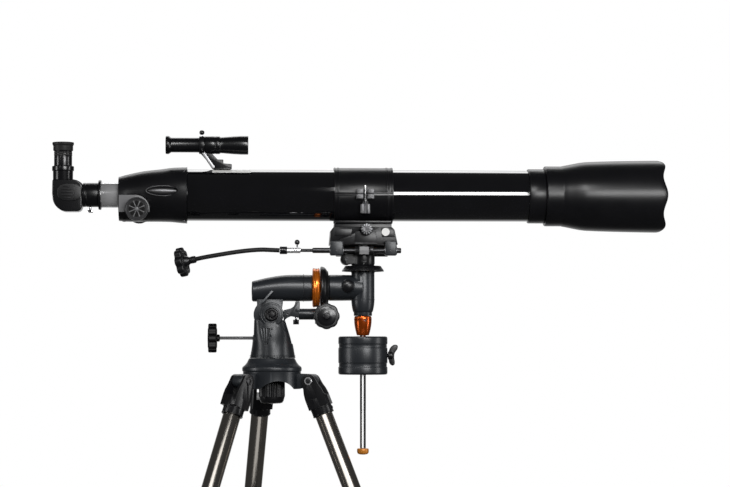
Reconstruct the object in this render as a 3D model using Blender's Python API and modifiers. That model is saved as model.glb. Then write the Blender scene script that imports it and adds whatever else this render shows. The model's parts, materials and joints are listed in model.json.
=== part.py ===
"""Refractor telescope on a German equatorial mount and a folding tripod.

Every sub-part is its own closed object. +X runs along the tube to the objective,
+Z is up, and the legs stand on z = 0. All sizes are in metres.
"""
import math

import bmesh
import bpy
from mathutils import Matrix, Vector

# ---- driving dimensions -------------------------------------------------
TUBE_Z = 1.084                      # optical axis above the floor
RA_Z = TUBE_Z - 0.1663              # polar (right ascension) axis
LATITUDE_Z = RA_Z - 0.0486          # latitude pivot
PIVOT_Z = TUBE_Z - 0.3337           # leg pivots
HUB_TOP_Z = PIVOT_Z + 0.0407
SIDE_Y = -0.0560                    # plane of the tube and mount, centred over the feet
PIER_X = -0.1580                    # azimuth axis
LATITUDE_X = -0.1592
DEC_X = 0.0057                      # declination axis
GAP = 0.0003                        # clearance between touching pieces

TUBE_R = 0.0463
TUBE_BACK_X = -0.3109
TUBE_FRONT_X = 0.3038
SHIELD_FRONT_X = 0.5531
DRAWTUBE_R = 0.0229
EYEPIECE_X = -0.5337
BARREL_R = 0.0158                   # 1.25 inch eyepiece barrels

WORM_RA_X = -0.0622
WORM_RA_DROP = 0.0522               # worm below the polar axis
WORM_DEC_OUT = 0.0350               # worm in front of the declination axis
WORM_DEC_DROP = 0.1003              # worm below the optical axis
BAR_R = 0.0054

LEG_PIVOT_R = 0.0730
LEG_TILT = math.radians(21.7)
LEG_AZIMUTHS = [math.radians(-12.5 + 120 * k) for k in range(3)]
LEG_TUBE_R = 0.01588
LEG_TUBE_END = 0.655                # along the leg from its pivot
LOWER_TUBE_R = 0.0140
BRACE_ALONG = 0.440                 # brace tab, along the leg from its pivot
BRACE_IN = 0.0270                   # brace tab, inward of the leg's centre line
BRACE_SLOPE = math.radians(30)
BRACE_HUB_R = 0.0340

MODEL = bpy.data.collections.new("telescope_on_tripod")
CUTTERS = bpy.data.collections.new("cutters")
X, Y, Z = Vector((1, 0, 0)), Vector((0, 1, 0)), Vector((0, 0, 1))


# ---- scene, materials ---------------------------------------------------
def clear_scene():
    for obj in list(bpy.data.objects):
        bpy.data.objects.remove(obj, do_unlink=True)
    for collection in (MODEL, CUTTERS):
        bpy.context.scene.collection.children.link(collection)


def material(name, color, roughness, metallic=0.0):
    made = bpy.data.materials.get(name) or bpy.data.materials.new(name)
    made.use_nodes = True
    shader = made.node_tree.nodes["Principled BSDF"]
    shader.inputs["Base Color"].default_value = (*color, 1)
    shader.inputs["Roughness"].default_value = roughness
    shader.inputs["Metallic"].default_value = metallic
    return made


GLOSS_BLACK = material("gloss_black", (0.006, 0.006, 0.007), 0.08)
SATIN_BLACK = material("satin_black", (0.014, 0.014, 0.015), 0.38)
GUNMETAL = material("gunmetal_paint", (0.045, 0.048, 0.052), 0.42)
STEEL = material("polished_steel", (0.62, 0.60, 0.57), 0.22, 1.0)
CHROME = material("chrome", (0.80, 0.80, 0.82), 0.10, 1.0)
ORANGE = material("orange_anodised", (0.75, 0.20, 0.01), 0.25, 0.6)
BRONZE = material("bronze", (0.45, 0.26, 0.10), 0.35, 1.0)
RUBBER = material("rubber", (0.018, 0.018, 0.018), 0.80)
GLASS = material("coated_glass", (0.25, 0.35, 0.32), 0.03)


# ---- modelling helpers --------------------------------------------------
def link(obj, finish, collection=MODEL):
    collection.objects.link(obj)
    if finish:
        obj.data.materials.clear()
        obj.data.materials.append(finish)
    return obj


def place(obj, at, axis=Z):
    obj.matrix_world = Matrix.Translation(at) @ axis.to_track_quat("Z", "Y").to_matrix().to_4x4()
    return obj


def smooth(obj):
    obj.data.shade_smooth()
    obj.data.set_sharp_from_angle(angle=math.radians(35))
    return obj


def evaluated_mesh(obj):
    bpy.context.view_layer.update()
    graph = bpy.context.evaluated_depsgraph_get()
    return bpy.data.meshes.new_from_object(obj.evaluated_get(graph), depsgraph=graph)


def weld(mesh):
    work = bmesh.new()
    work.from_mesh(mesh)
    bmesh.ops.remove_doubles(work, verts=work.verts, dist=0.00002)
    work.to_mesh(mesh)
    work.free()
    return mesh


def apply_all(obj):
    """Turns an object's modifiers into plain mesh."""
    mesh = weld(evaluated_mesh(obj))
    obj.modifiers.clear()
    obj.data = mesh
    return obj


def as_cutter(obj):
    """Hides a guide or a cutting body and moves it to the cutters' collection."""
    for collection in list(obj.users_collection):
        collection.objects.unlink(obj)
    CUTTERS.objects.link(obj)
    obj.hide_render = True
    obj.display_type = "WIRE"
    return obj


def combine(obj, operation, *others):
    """Lathe shapes get a slight twist first, so that their facets never line up exactly."""
    for number, other in enumerate(others):
        if "turn" in other.modifiers:
            twist = Matrix.Rotation(math.radians(3.3 + number), 4, "Z")
            other.matrix_world = other.matrix_world @ twist
        as_cutter(other)
        step = obj.modifiers.new(operation.lower(), "BOOLEAN")
        step.operation = operation
        step.solver = "EXACT"
        step.object = other
        apply_all(obj)
    return obj


def cut(obj, *others):
    return combine(obj, "DIFFERENCE", *others)


def join(obj, *others):
    return combine(obj, "UNION", *others)


def turned(name, profile, at, axis=Z, finish=None, steps=20, ring=False):
    """A lathe shape. The profile is (radius, height) pairs, top to bottom outside."""
    mesh = bpy.data.meshes.new(name)
    edges = [(i, i + 1) for i in range(len(profile) - 1)]
    if ring:
        edges.append((len(profile) - 1, 0))
    mesh.from_pydata([(radius, 0, height) for radius, height in profile], edges, [])
    obj = link(bpy.data.objects.new(name, mesh), finish)
    screw = obj.modifiers.new("turn", "SCREW")
    screw.steps = steps
    screw.render_steps = steps
    screw.use_merge_vertices = True
    screw.merge_threshold = 0.00001
    screw.use_smooth_shade = True
    return place(obj, at, axis)


def cylinder(name, radius, low, high, at, axis=Z, finish=None, steps=20):
    return turned(name, [(0, high), (radius, high), (radius, low), (0, low)], at, axis, finish, steps)


def tube(name, outer, inner, low, high, at, axis=Z, finish=None, steps=20):
    profile = [(outer, high), (outer, low), (inner, low), (inner, high)]
    return turned(name, profile, at, axis, finish, steps, ring=True)


def block(name, low, high, finish=None, bevel=0.0, matrix=None):
    """A box between two corners, in the given frame, with its edges rounded off."""
    low, high = Vector(low), Vector(high)
    mesh = bpy.data.meshes.new(name)
    work = bmesh.new()
    size = Matrix.Diagonal((*(high - low), 1))
    bmesh.ops.create_cube(work, size=1, matrix=Matrix.Translation((low + high) / 2) @ size)
    work.to_mesh(mesh)
    work.free()
    obj = link(bpy.data.objects.new(name, mesh), finish)
    if matrix:
        obj.matrix_world = matrix
    if bevel:
        soften(obj, bevel)
    return obj


def soften(obj, width, segments=1):
    bevel = obj.modifiers.new("edges", "BEVEL")
    bevel.width = width
    bevel.segments = segments
    bevel.limit_method = "ANGLE"
    bevel.angle_limit = math.radians(40)
    return obj


def plate(name, outline, thickness, matrix, finish=None):
    """A flat outline in the frame's own x and y, extruded evenly about its z = 0."""
    curve = bpy.data.curves.new(name, "CURVE")
    curve.dimensions = "2D"
    curve.fill_mode = "BOTH"
    curve.extrude = thickness / 2
    spline = curve.splines.new("POLY")
    spline.points.add(len(outline) - 1)
    for point, (u, v) in zip(spline.points, outline):
        point.co = (u, v, 0, 1)
    spline.use_cyclic_u = True
    guide = bpy.data.objects.new(name + "_outline", curve)
    CUTTERS.objects.link(guide)
    mesh = weld(evaluated_mesh(guide))
    bpy.data.objects.remove(guide)
    obj = link(bpy.data.objects.new(name, mesh), finish)
    obj.matrix_world = matrix
    return obj


def loft(name, sections, matrix, finish=None):
    """Skins rings of points, each a (height, [(x, y), ...]) pair, bottom ring first."""
    mesh = bpy.data.meshes.new(name)
    work = bmesh.new()
    rings = [[work.verts.new((x, y, height)) for x, y in ring] for height, ring in sections]
    count = len(rings[0])
    for lower, upper in zip(rings, rings[1:]):
        for i in range(count):
            j = (i + 1) % count
            work.faces.new((lower[i], lower[j], upper[j], upper[i]))
    work.faces.new(reversed(rings[0]))
    work.faces.new(rings[-1])
    work.to_mesh(mesh)
    work.free()
    obj = link(bpy.data.objects.new(name, mesh), finish)
    obj.matrix_world = matrix
    return obj


def arc(center, radius, start, end, count=6):
    """Points on a circle from one angle to another, in degrees."""
    angles = [math.radians(start + (end - start) * i / count) for i in range(count + 1)]
    return [(center[0] + radius * math.cos(a), center[1] + radius * math.sin(a)) for a in angles]


def oval(half_x, half_y, squareness=2.0, center=(0.0, 0.0), count=24):
    """A superellipse: 2 is an ellipse, and larger values are squarer."""
    points = []
    for i in range(count):
        angle = 2 * math.pi * i / count
        c, s = math.cos(angle), math.sin(angle)
        x = math.copysign(abs(c) ** (2 / squareness), c) * half_x
        y = math.copysign(abs(s) ** (2 / squareness), s) * half_y
        points.append((center[0] + x, center[1] + y))
    return points


def scalloped(radius, depth, lobes, per_lobe=4):
    """The outline of a hand knob, with a hollow between neighbouring lobes."""
    points = []
    for i in range(lobes * per_lobe):
        angle = 2 * math.pi * i / (lobes * per_lobe)
        here = radius - depth * (0.5 - 0.5 * math.cos(lobes * angle)) ** 2
        points.append((here * math.cos(angle), here * math.sin(angle)))
    return points


def facing(at, axis):
    """A frame at a point with its z along the axis."""
    return Matrix.Translation(at) @ axis.to_track_quat("Z", "Y").to_matrix().to_4x4()


def side_view(y=0.0):
    """A frame whose x and y are the model's X and Z, for outlines seen from the front."""
    return Matrix.Translation((0, SIDE_Y + y, 0)) @ Matrix.Rotation(math.pi / 2, 4, "X")


def from_tube(x, drop=0.0, y=0.0):
    return Vector((x, SIDE_Y + y, TUBE_Z - drop))


def on_axis(name, at, *parts):
    """An empty on a joint's axis, with the moving parts as its children."""
    pivot = bpy.data.objects.new(name + "_axis", None)
    MODEL.objects.link(pivot)
    pivot.location = at
    bpy.context.view_layer.update()
    for part in parts:
        part.parent = pivot
        part.matrix_parent_inverse = pivot.matrix_world.inverted()


# ---- tripod -------------------------------------------------------------
def radial_frame(azimuth, radius=0.0, z=0.0):
    """x points outward along the azimuth, y around the pier, z up."""
    turn = Matrix.Rotation(math.pi / 2 - azimuth, 4, "Z")
    return Matrix.Translation((PIER_X, SIDE_Y, z)) @ turn @ Matrix.Translation((radius, 0, 0))


def leg_frame(azimuth):
    """At a leg's pivot: z runs up the leg, x outward and y along the hinge."""
    return radial_frame(azimuth, LEG_PIVOT_R, PIVOT_Z) @ Matrix.Rotation(-LEG_TILT, 4, "Y")


def tripod_hub():
    skirt_r, wall, depth = 0.0535, 0.006, 0.0551
    bore = 0.0062
    profile = [
        (bore, 0), (0.0410, 0), (0.0425, -0.0030), (skirt_r, -0.0170), (skirt_r, -0.0225),
        (skirt_r - 0.0015, -0.0240), (skirt_r - 0.0015, -depth), (skirt_r - wall, -depth),
        (skirt_r - wall, -0.0180), (0.0380, -0.0130), (bore, -0.0130),
    ]
    at = Vector((PIER_X, SIDE_Y, HUB_TOP_Z))
    hub = turned("tripod_hub", profile, at, finish=GUNMETAL, steps=24, ring=True)
    arch_r, arch_z = 0.0412, PIVOT_Z - 0.0412
    lug_half, lug_r, pin_r = 0.0125, 0.0125, 0.0042
    arches, lugs = [], []
    for k, azimuth in enumerate(LEG_AZIMUTHS):
        between = radial_frame(azimuth + math.radians(60), 0.020, arch_z)
        start = between @ Vector((0, 0, 0))
        direction = (between.to_3x3() @ X).normalized()
        arches.append(cylinder(f"arch_{k}", arch_r, 0, 0.06, start, direction, steps=16))
        outline = arc((LEG_PIVOT_R, 0), lug_r, -90, 90) + [(0.043, 0.0135), (0.043, -0.0140)]
        upright = radial_frame(azimuth, 0, PIVOT_Z) @ Matrix.Rotation(math.pi / 2, 4, "X")
        lugs.append(plate(f"lug_{k}", outline, 2 * lug_half, upright))
        pin = radial_frame(azimuth, LEG_PIVOT_R, PIVOT_Z)
        lugs.append(cylinder(f"pin_{k}", pin_r, -0.0205, 0.0205, pin @ Vector((0, 0, 0)),
                             (pin.to_3x3() @ Y).normalized(), steps=12))
    return apply_all(join(cut(hub, *arches), *lugs))


def azimuth_lock_knob():
    stud_r, knob_r = 0.0058, 0.0234
    profile = [
        (0, 0.0520), (stud_r, 0.0520), (stud_r, 0.0270), (0.0120, 0.0270), (0.0120, 0.0010),
        (knob_r - 0.0010, 0.0010), (knob_r, -0.0020), (knob_r, -0.0300), (0.0190, -0.0392),
        (0, -0.0412),
    ]
    knob = turned("azimuth_lock_knob", profile, (PIER_X, SIDE_Y, PIVOT_Z), finish=SATIN_BLACK)
    on_axis("azimuth_lock", (PIER_X, SIDE_Y, PIVOT_Z), knob)


def leg_bracket_mesh():
    cheek_r, cheek_half, slot_half = 0.0125, 0.0185, 0.0129
    socket_r, socket_top, socket_end = 0.0190, -0.034, -0.072
    outline = arc((0, 0), cheek_r, 0, 180) + [
        (-socket_r + 0.001, -0.030), (-socket_r + 0.001, -0.050),
        (socket_r - 0.001, -0.050), (socket_r - 0.001, -0.030)]
    upright = Matrix.Rotation(math.pi / 2, 4, "X")
    bracket = plate("bracket_form", outline, 2 * cheek_half, upright)
    socket = cylinder("bracket_socket", socket_r, socket_end, socket_top, (0, 0, 0), steps=16)
    fork = block("bracket_slot", (-0.03, -slot_half, -0.031), (0.03, slot_half, 0.03))
    bore = cylinder("bracket_bore", LEG_TUBE_R + 2 * GAP, -0.09, -0.042, (0, 0, 0), steps=16)
    hole = cylinder("bracket_hole", 0.0046, -0.03, 0.03, (0, 0, 0), Y, steps=12)
    apply_all(cut(join(bracket, socket), fork, bore, hole))
    return bracket


def leg_tube_mesh():
    inner = LEG_TUBE_R - 0.0012
    shaft = tube("leg_tube_form", LEG_TUBE_R, inner, -LEG_TUBE_END, -0.0425, (0, 0, 0), steps=16)
    tab_top, tab_end = -BRACE_ALONG + 0.009, -BRACE_ALONG - 0.009
    outline = [(-inner - 0.0004, tab_top), (-inner - 0.0004, tab_end)]
    outline += arc((-BRACE_IN, -BRACE_ALONG), 0.006, 270, 90)
    tab = plate("brace_tab", outline, 0.0040, Matrix.Rotation(math.pi / 2, 4, "X"))
    hole = cylinder("brace_hole", 0.0029, -0.01, 0.01, (-BRACE_IN, 0, -BRACE_ALONG), Y, steps=12)
    return apply_all(cut(join(shaft, tab), hole))


def leg_clamp_mesh():
    end, tail = -LEG_TUBE_END, -LEG_TUBE_END - 0.026
    profile = [
        (0.0190, end + 0.028), (0.0218, end + 0.022), (0.0218, end - 0.018), (0.0185, tail),
        (LOWER_TUBE_R + GAP, tail), (LOWER_TUBE_R + GAP, end - 0.0015),
        (LEG_TUBE_R + GAP, end - 0.0015), (LEG_TUBE_R + GAP, end + 0.028),
    ]
    collar = turned("clamp_form", profile, (0, 0, 0), steps=16, ring=True)
    boss = cylinder("clamp_boss", 0.0080, 0.0195, 0.0270, (0, 0, end - 0.010), X, steps=12)
    bore = cylinder("clamp_bore", 0.0034, 0.005, 0.04, (0, 0, end - 0.010), X, steps=12)
    return apply_all(cut(join(collar, boss), bore))


def leg_lock_screw_mesh():
    profile = [
        (0, 0.0450), (0.0100, 0.0450), (0.0120, 0.0430), (0.0120, 0.0330), (0.0080, 0.0300),
        (0.0080, 0.0273), (0.0031, 0.0273), (0.0031, LOWER_TUBE_R + 2 * GAP),
        (0, LOWER_TUBE_R + 2 * GAP),
    ]
    return apply_all(turned("screw_form", profile, (0, 0, 0), steps=12))


def lower_leg_mesh():
    """The sliding tube with its rubber foot, longer than the leg: the floor cuts it off."""
    inner, top, foot_r = LOWER_TUBE_R - 0.0011, -0.185, 0.0185
    reach = PIVOT_Z / math.cos(LEG_TILT)
    profile = [
        (0, -reach + 0.045), (inner, -reach + 0.045), (inner, top), (LOWER_TUBE_R, top),
        (LOWER_TUBE_R, -reach + 0.042), (foot_r - 0.002, -reach + 0.040),
        (foot_r, -reach + 0.036), (foot_r, -reach - 0.015), (0, -reach - 0.015),
    ]
    leg = turned("lower_leg_form", profile, (0, 0, 0), steps=16)
    floor = block("floor_cut", (-0.1, -0.1, -0.1), (0.1, 0.1, 0))
    floor.matrix_world = leg_frame(0).inverted() @ Matrix.Translation(
        leg_frame(0) @ Vector((0, 0, -reach)))
    return apply_all(cut(leg, floor))


def brace_tab_height():
    """Radius and height of the brace hinge on a leg, from the pier and the floor."""
    radius = LEG_PIVOT_R + BRACE_ALONG * math.sin(LEG_TILT) - BRACE_IN * math.cos(LEG_TILT)
    height = PIVOT_Z - BRACE_ALONG * math.cos(LEG_TILT) - BRACE_IN * math.sin(LEG_TILT)
    return radius, height


def brace_hub_height():
    radius, height = brace_tab_height()
    return height + (radius - BRACE_HUB_R) * math.tan(BRACE_SLOPE)


def brace_arm_mesh():
    """A flat bar beside the leg's tab, with its own hinge pin through the tab."""
    radius, _ = brace_tab_height()
    length = (radius - BRACE_HUB_R) / math.cos(BRACE_SLOPE)
    half, offset, thick = 0.0060, 0.0040, 0.0030
    outline = arc((0, 0), half, -90, 90) + arc((-length, 0), half - 0.0012, 90, 270)
    upright = Matrix.Translation((0, offset, 0)) @ Matrix.Rotation(math.pi / 2, 4, "X")
    bar = plate("arm_form", outline, thick, upright)
    pin = cylinder("arm_pin", 0.0026, -0.0050, 0.0040, (0, 0, 0), Y, steps=12)
    eye = cylinder("arm_eye", 0.0022, -0.01, 0.01, (-length, 0, 0), Y, steps=12)
    return apply_all(cut(join(bar, pin), eye))


def tripod_legs():
    forms = {
        "leg_bracket": (leg_bracket_mesh(), SATIN_BLACK), "leg_tube": (leg_tube_mesh(), STEEL),
        "leg_clamp": (leg_clamp_mesh(), SATIN_BLACK), "lower_leg": (lower_leg_mesh(), STEEL),
        "leg_lock_screw": (leg_lock_screw_mesh(), SATIN_BLACK),
        "brace_arm": (brace_arm_mesh(), SATIN_BLACK),
    }
    for form, _ in forms.values():
        form.data.transform(form.matrix_world)
    screw_at = Matrix.Translation((0, 0, -LEG_TUBE_END - 0.010)) @ facing((0, 0, 0), X)
    tab_at = Matrix.Translation((-BRACE_IN, 0, -BRACE_ALONG))
    for number, azimuth in enumerate(LEG_AZIMUTHS, 1):
        leg = leg_frame(azimuth)
        level = Matrix.Rotation(LEG_TILT + BRACE_SLOPE, 4, "Y")
        frames = {"leg_lock_screw": leg @ screw_at, "brace_arm": leg @ tab_at @ level}
        made = {}
        for name, (form, finish) in forms.items():
            piece = link(bpy.data.objects.new(f"{name}_{number}", form.data), finish)
            piece.matrix_world = frames.get(name, leg)
            made[name] = piece
        moving = [made[n] for n in ("leg_bracket", "leg_tube", "leg_clamp", "lower_leg")]
        on_axis(f"leg_{number}", leg @ Vector((0, 0, 0)), *moving)
    for form, _ in forms.values():
        bpy.data.objects.remove(form)


def brace_hub_and_tray():
    z = brace_hub_height()
    core = cylinder("brace_hub", 0.0150, -0.0090, 0.0200, (PIER_X, SIDE_Y, z), finish=SATIN_BLACK)
    ears = []
    for azimuth in LEG_AZIMUTHS:
        outline = arc((BRACE_HUB_R, 0), 0.0060, -90, 90) + [(0.010, 0.0060), (0.010, -0.0060)]
        for side in (0.0080, 0.0000):
            upright = radial_frame(azimuth, 0, z) @ Matrix.Translation((0, side, 0))
            ears.append(plate("ear", outline, 0.0030, upright @ Matrix.Rotation(math.pi / 2, 4, "X")))
    hub = apply_all(join(core, *ears))
    waist, lobe, thick = 0.070, 0.026, 0.0050
    outline = []
    for i in range(48):
        angle = 2 * math.pi * i / 48
        radius = waist + lobe * math.cos(3 * angle)
        outline.append((radius * math.cos(angle), radius * math.sin(angle)))
    level = radial_frame(LEG_AZIMUTHS[0] + math.radians(60), 0, z + 0.0203 + thick / 2)
    tray = soften(plate("accessory_tray", outline, thick, level, SATIN_BLACK), 0.0012)
    on_axis("brace_hub", (PIER_X, SIDE_Y, z), hub, tray)


# ---- mount head ---------------------------------------------------------
def azimuth_base():
    """The turning base with the two cheeks that hold the polar housing's lug."""
    rings = [
        (0.0000, oval(0.0408, 0.0408, center=(0.0012, 0))),
        (0.0045, oval(0.0400, 0.0400, center=(0.0012, 0))),
        (0.0245, oval(0.0365, 0.0360, 2.1, (0.0010, 0))),
        (0.0450, oval(0.0330, 0.0290, 2.6, (-0.0012, 0))),
        (0.0680, oval(0.0290, 0.0240, 3.0, (-0.0045, 0))),
    ]
    floor = Matrix.Translation((PIER_X, SIDE_Y, HUB_TOP_Z + GAP))
    base = loft("azimuth_base", rings, floor, GUNMETAL)
    pivot = Vector((LATITUDE_X, SIDE_Y, LATITUDE_Z))
    boss = cylinder("cheek_boss", 0.0217, -0.0252, 0.0252, pivot, Y, steps=28)
    slot_half = 0.0123
    lower = block("slot_front", (-0.0130, -slot_half, -0.052), (0.07, slot_half, 0.05))
    upper = block("slot_back", (-0.07, -slot_half, -0.0365), (0.07, slot_half, 0.05))
    for slot in (lower, upper):
        slot.location = pivot
    bolt = cylinder("bolt_bore", 0.0057, -0.04, 0.04, pivot, Y, steps=16)
    screw_z = PIVOT_Z + 0.0769
    screw = cylinder("screw_bore", 0.0035, -0.05, 0.05, (PIER_X - 0.05, SIDE_Y, screw_z), X, steps=12)
    stud = cylinder("stud_bore", 0.0062, -0.01, 0.0140, (PIER_X, SIDE_Y, HUB_TOP_Z), steps=12)
    return apply_all(cut(join(base, boss), lower, upper, bolt, screw, stud))


def latitude_bolt():
    head = [
        (0, 0.0320), (0.0058, 0.0320), (0.0070, 0.0310), (0.0074, 0.0300), (0.0118, 0.0298),
        (0.0121, 0.0285), (0.0121, 0.0255), (0.0054, 0.0255), (0.0054, -0.0255),
        (0.0090, -0.0255), (0.0090, -0.0330), (0, -0.0330),
    ]
    pivot = Vector((LATITUDE_X, SIDE_Y, LATITUDE_Z))
    return turned("latitude_bolt", head, pivot, -Y, SATIN_BLACK, steps=20)


def latitude_screw():
    """The threaded rod that tips the polar axis, with its hand knob."""
    knob_r, rod_r = 0.0261, 0.0031
    tip, face, hub_end, inner = LATITUDE_X - 0.0136, -0.2726, -0.2517, -0.2573
    axis_z = PIVOT_Z + 0.0769
    start = Vector((face, SIDE_Y, axis_z))
    rod = turned("latitude_screw", [
        (0, tip - face), (rod_r, tip - face), (rod_r, hub_end - face), (0.0065, hub_end - face),
        (0.0065, 0.0040), (0, 0.0040)], start, X, SATIN_BLACK, steps=16)
    middle = facing((start.x + (inner - face) / 2, SIDE_Y, axis_z), X)
    knob = soften(plate("latitude_knob", scalloped(knob_r, 0.0045, 8), inner - face, middle), 0.0015)
    screw = apply_all(join(rod, knob))
    on_axis("latitude_screw", start, screw)
    return screw


def polar_housing():
    """The tapered casting on the polar axis, with the lug that tips between the cheeks."""
    shape = [
        (-0.1945, 0.0095, -0.0215, 0.0155), (-0.1925, 0.0125, -0.0248, 0.0188),
        (-0.1878, 0.0130, -0.0250, 0.0190), (-0.1644, 0.0184, -0.0246, 0.0214),
        (-0.1342, 0.0227, -0.0243, 0.0232), (-0.0906, 0.0232, -0.0243, 0.0237),
        (-0.0888, 0.0222, -0.0232, 0.0227),
    ]
    rings = [(x, oval((top - low) / 2, side, center=(-(top + low) / 2, 0)))
             for x, top, low, side in shape]
    along = Matrix.Translation((0, SIDE_Y, RA_Z)) @ Matrix.Rotation(math.pi / 2, 4, "Y")
    housing = loft("polar_housing", rings, along, GUNMETAL)
    lug_half, disc_r = 0.0120, 0.0265
    disc_x = LATITUDE_X - 0.0055
    disc = cylinder("lug_disc", disc_r, -lug_half, lug_half, (disc_x, SIDE_Y, LATITUDE_Z), Y, steps=24)
    web = plate("lug_web", [
        (-0.1860, RA_Z - 0.014), (-0.1850, RA_Z - 0.030), (disc_x - disc_r + 0.002, LATITUDE_Z),
        (disc_x + disc_r - 0.002, LATITUDE_Z), (-0.1390, RA_Z - 0.030), (-0.1375, RA_Z - 0.014),
    ], 2 * lug_half, side_view())
    tail = plate("lug_tail", [
        (LATITUDE_X - 0.0125, LATITUDE_Z), (LATITUDE_X - 0.0125, LATITUDE_Z - 0.048),
        (LATITUDE_X + 0.0080, LATITUDE_Z - 0.048), (LATITUDE_X + 0.0140, LATITUDE_Z),
    ], 2 * lug_half - 0.004, side_view())
    bore = cylinder("polar_bore", 0.0098, 0, 0.11, (-0.1840, SIDE_Y, RA_Z), X)
    pivot = cylinder("lug_bore", 0.0057, -0.03, 0.03, (LATITUDE_X, SIDE_Y, LATITUDE_Z), Y, steps=16)
    return apply_all(cut(join(housing, disc, web, tail), bore, pivot))


def ra_worm_bracket():
    """The arm under the polar housing that carries the right ascension worm."""
    post_top, half = RA_Z - 0.0247, 0.0080
    arm = plate("ra_worm_bracket", [
        (-0.1378, RA_Z - 0.0405), (-0.1240, RA_Z - 0.0372), (-0.1165, RA_Z - 0.0290),
        (-0.1162, post_top), (-0.1083, post_top), (-0.1083, RA_Z - 0.0545),
        (-0.1240, RA_Z - 0.0513), (-0.1370, RA_Z - 0.0600),
    ], 2 * half, side_view(), GUNMETAL)
    rail_z = RA_Z - 0.0475
    rail = cylinder("worm_rail", 0.0100, -0.1100, -0.0800, (0, SIDE_Y, rail_z), X, steps=20)
    end_plate = block("worm_plate", (-0.0800, -0.0300, -0.0650), (-0.0762, 0.0300, -0.0375), bevel=0.001)
    end_plate.location = (0, SIDE_Y, RA_Z)
    pads, holes = [rail, end_plate], []
    worm = Vector((WORM_RA_X, SIDE_Y, RA_Z - WORM_RA_DROP))
    for k, y in enumerate((-0.0260, 0.0260)):
        low, high = (-0.0775, y - 0.004, -0.0640), (WORM_RA_X + 0.009, y + 0.004, -0.0400)
        pad = block(f"worm_pad_{k}", low, high, bevel=0.002)
        pad.location = (0, SIDE_Y, RA_Z)
        pads.append(pad)
    holes.append(cylinder("worm_bores", 0.0048, -0.05, 0.05, worm, Y, steps=16))
    return apply_all(cut(join(arm, *pads), *holes))


def ra_slow_motion():
    """Worm, shaft and hand knob, one turning piece in front of the bracket."""
    at = Vector((WORM_RA_X, SIDE_Y, RA_Z - WORM_RA_DROP))
    worm_r, shaft_r, knob_r = 0.0125, 0.0045, 0.0232
    shaft = turned("ra_slow_motion", [
        (0, 0.0700), (shaft_r, 0.0700), (shaft_r, 0.0200), (worm_r, 0.0190), (worm_r, -0.0190),
        (shaft_r, -0.0200), (shaft_r, -0.0340), (0, -0.0340)], at, -Y, SATIN_BLACK)
    middle = facing(at - Y * 0.0710, -Y)
    knob = soften(plate("ra_knob", scalloped(knob_r, 0.0030, 9), 0.0140, middle), 0.0022)
    hub = turned("ra_knob_hub", [
        (0, 0.0820), (0.0060, 0.0820), (0.0060, 0.0800), (0.0180, 0.0780), (0.0180, 0.0700),
        (0.0085, 0.0620), (0.0085, 0.0560), (0, 0.0560)], at, -Y)
    piece = apply_all(join(shaft, knob, hub))
    on_axis("ra_worm", at, piece)


def ra_discs():
    """The orange setting circle and the worm wheel behind it, loose on the polar shaft."""
    at = Vector((0, SIDE_Y, RA_Z))
    bore = 0.0092
    circle = turned("ra_setting_circle", [
        (bore, -0.0722), (0.0250, -0.0722), (0.0300, -0.0745), (0.0345, -0.0722),
        (0.0352, -0.0745), (0.0346, -0.0790), (0.0352, -0.0830), (0.0330, -0.0855),
        (0.0280, -0.0840), (0.0215, -0.0868), (bore, -0.0868)],
        at, X, ORANGE, steps=28, ring=True)
    wheel = turned("ra_worm_wheel", [
        (bore, -0.0562), (0.0236, -0.0562), (0.0310, -0.0590), (0.0362, -0.0630),
        (0.0383, -0.0680), (0.0383, -0.0702), (0.0360, -0.0712), (bore, -0.0712)],
        at, X, SATIN_BLACK, steps=28, ring=True)
    on_axis("polar", at, circle, wheel)


def dec_housing():
    """The declination casting: upright barrel, cross block and polar shaft."""
    at = from_tube(DEC_X, 0.1372)
    barrel = turned("dec_housing", [
        (0.0092, 0), (0.0209, 0), (0.0209, -0.0610), (0.0196, -0.0720), (0.0204, -0.0725),
        (0.0200, -0.0795), (0.0092, -0.0795)], at, Z, GUNMETAL, steps=24, ring=True)
    ra = Vector((0, SIDE_Y, RA_Z))
    shape = [(0, 0.0060), (0.0225, 0.0060), (0.0234, -0.0400), (0.0234, -0.0545),
             (0.0225, -0.0559), (0.0088, -0.0559), (0.0088, -0.1780), (0, -0.1780)]
    junction = turned("cross_block", shape, ra, X, steps=24)
    cap_at = Vector((-0.0221, SIDE_Y, RA_Z + 0.0027))
    cap = turned("cross_cap", [(0, 0.0300), (0.0070, 0.0292), (0.0110, 0.0265), (0.0120, 0.0235),
                               (0.0120, 0.0100), (0, 0.0100)], cap_at, -Y)
    bore = cylinder("dec_bore", 0.0092, -0.10, 0.01, at)
    housing = apply_all(cut(join(barrel, junction, cap), bore))
    on_axis("ra_shaft", ra, housing)


def dec_discs():
    """The setting circle under the cover, and the worm wheel whose hub passes through both."""
    at = from_tube(DEC_X)
    circle = turned("dec_setting_circle", [
        (0.0136, -0.1268), (0.0322, -0.1268), (0.0381, -0.1368), (0.0340, -0.1368),
        (0.0300, -0.1310), (0.0136, -0.1310)], at, Z, SATIN_BLACK, steps=28, ring=True)
    wheel = turned("dec_worm_wheel", [
        (0.0092, -0.0938), (0.0262, -0.0938), (0.0262, -0.1028), (0.0130, -0.1028),
        (0.0130, -0.1368), (0.0092, -0.1368)], at, Z, BRONZE, steps=24, ring=True)
    on_axis("declination", at, circle, wheel)


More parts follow.
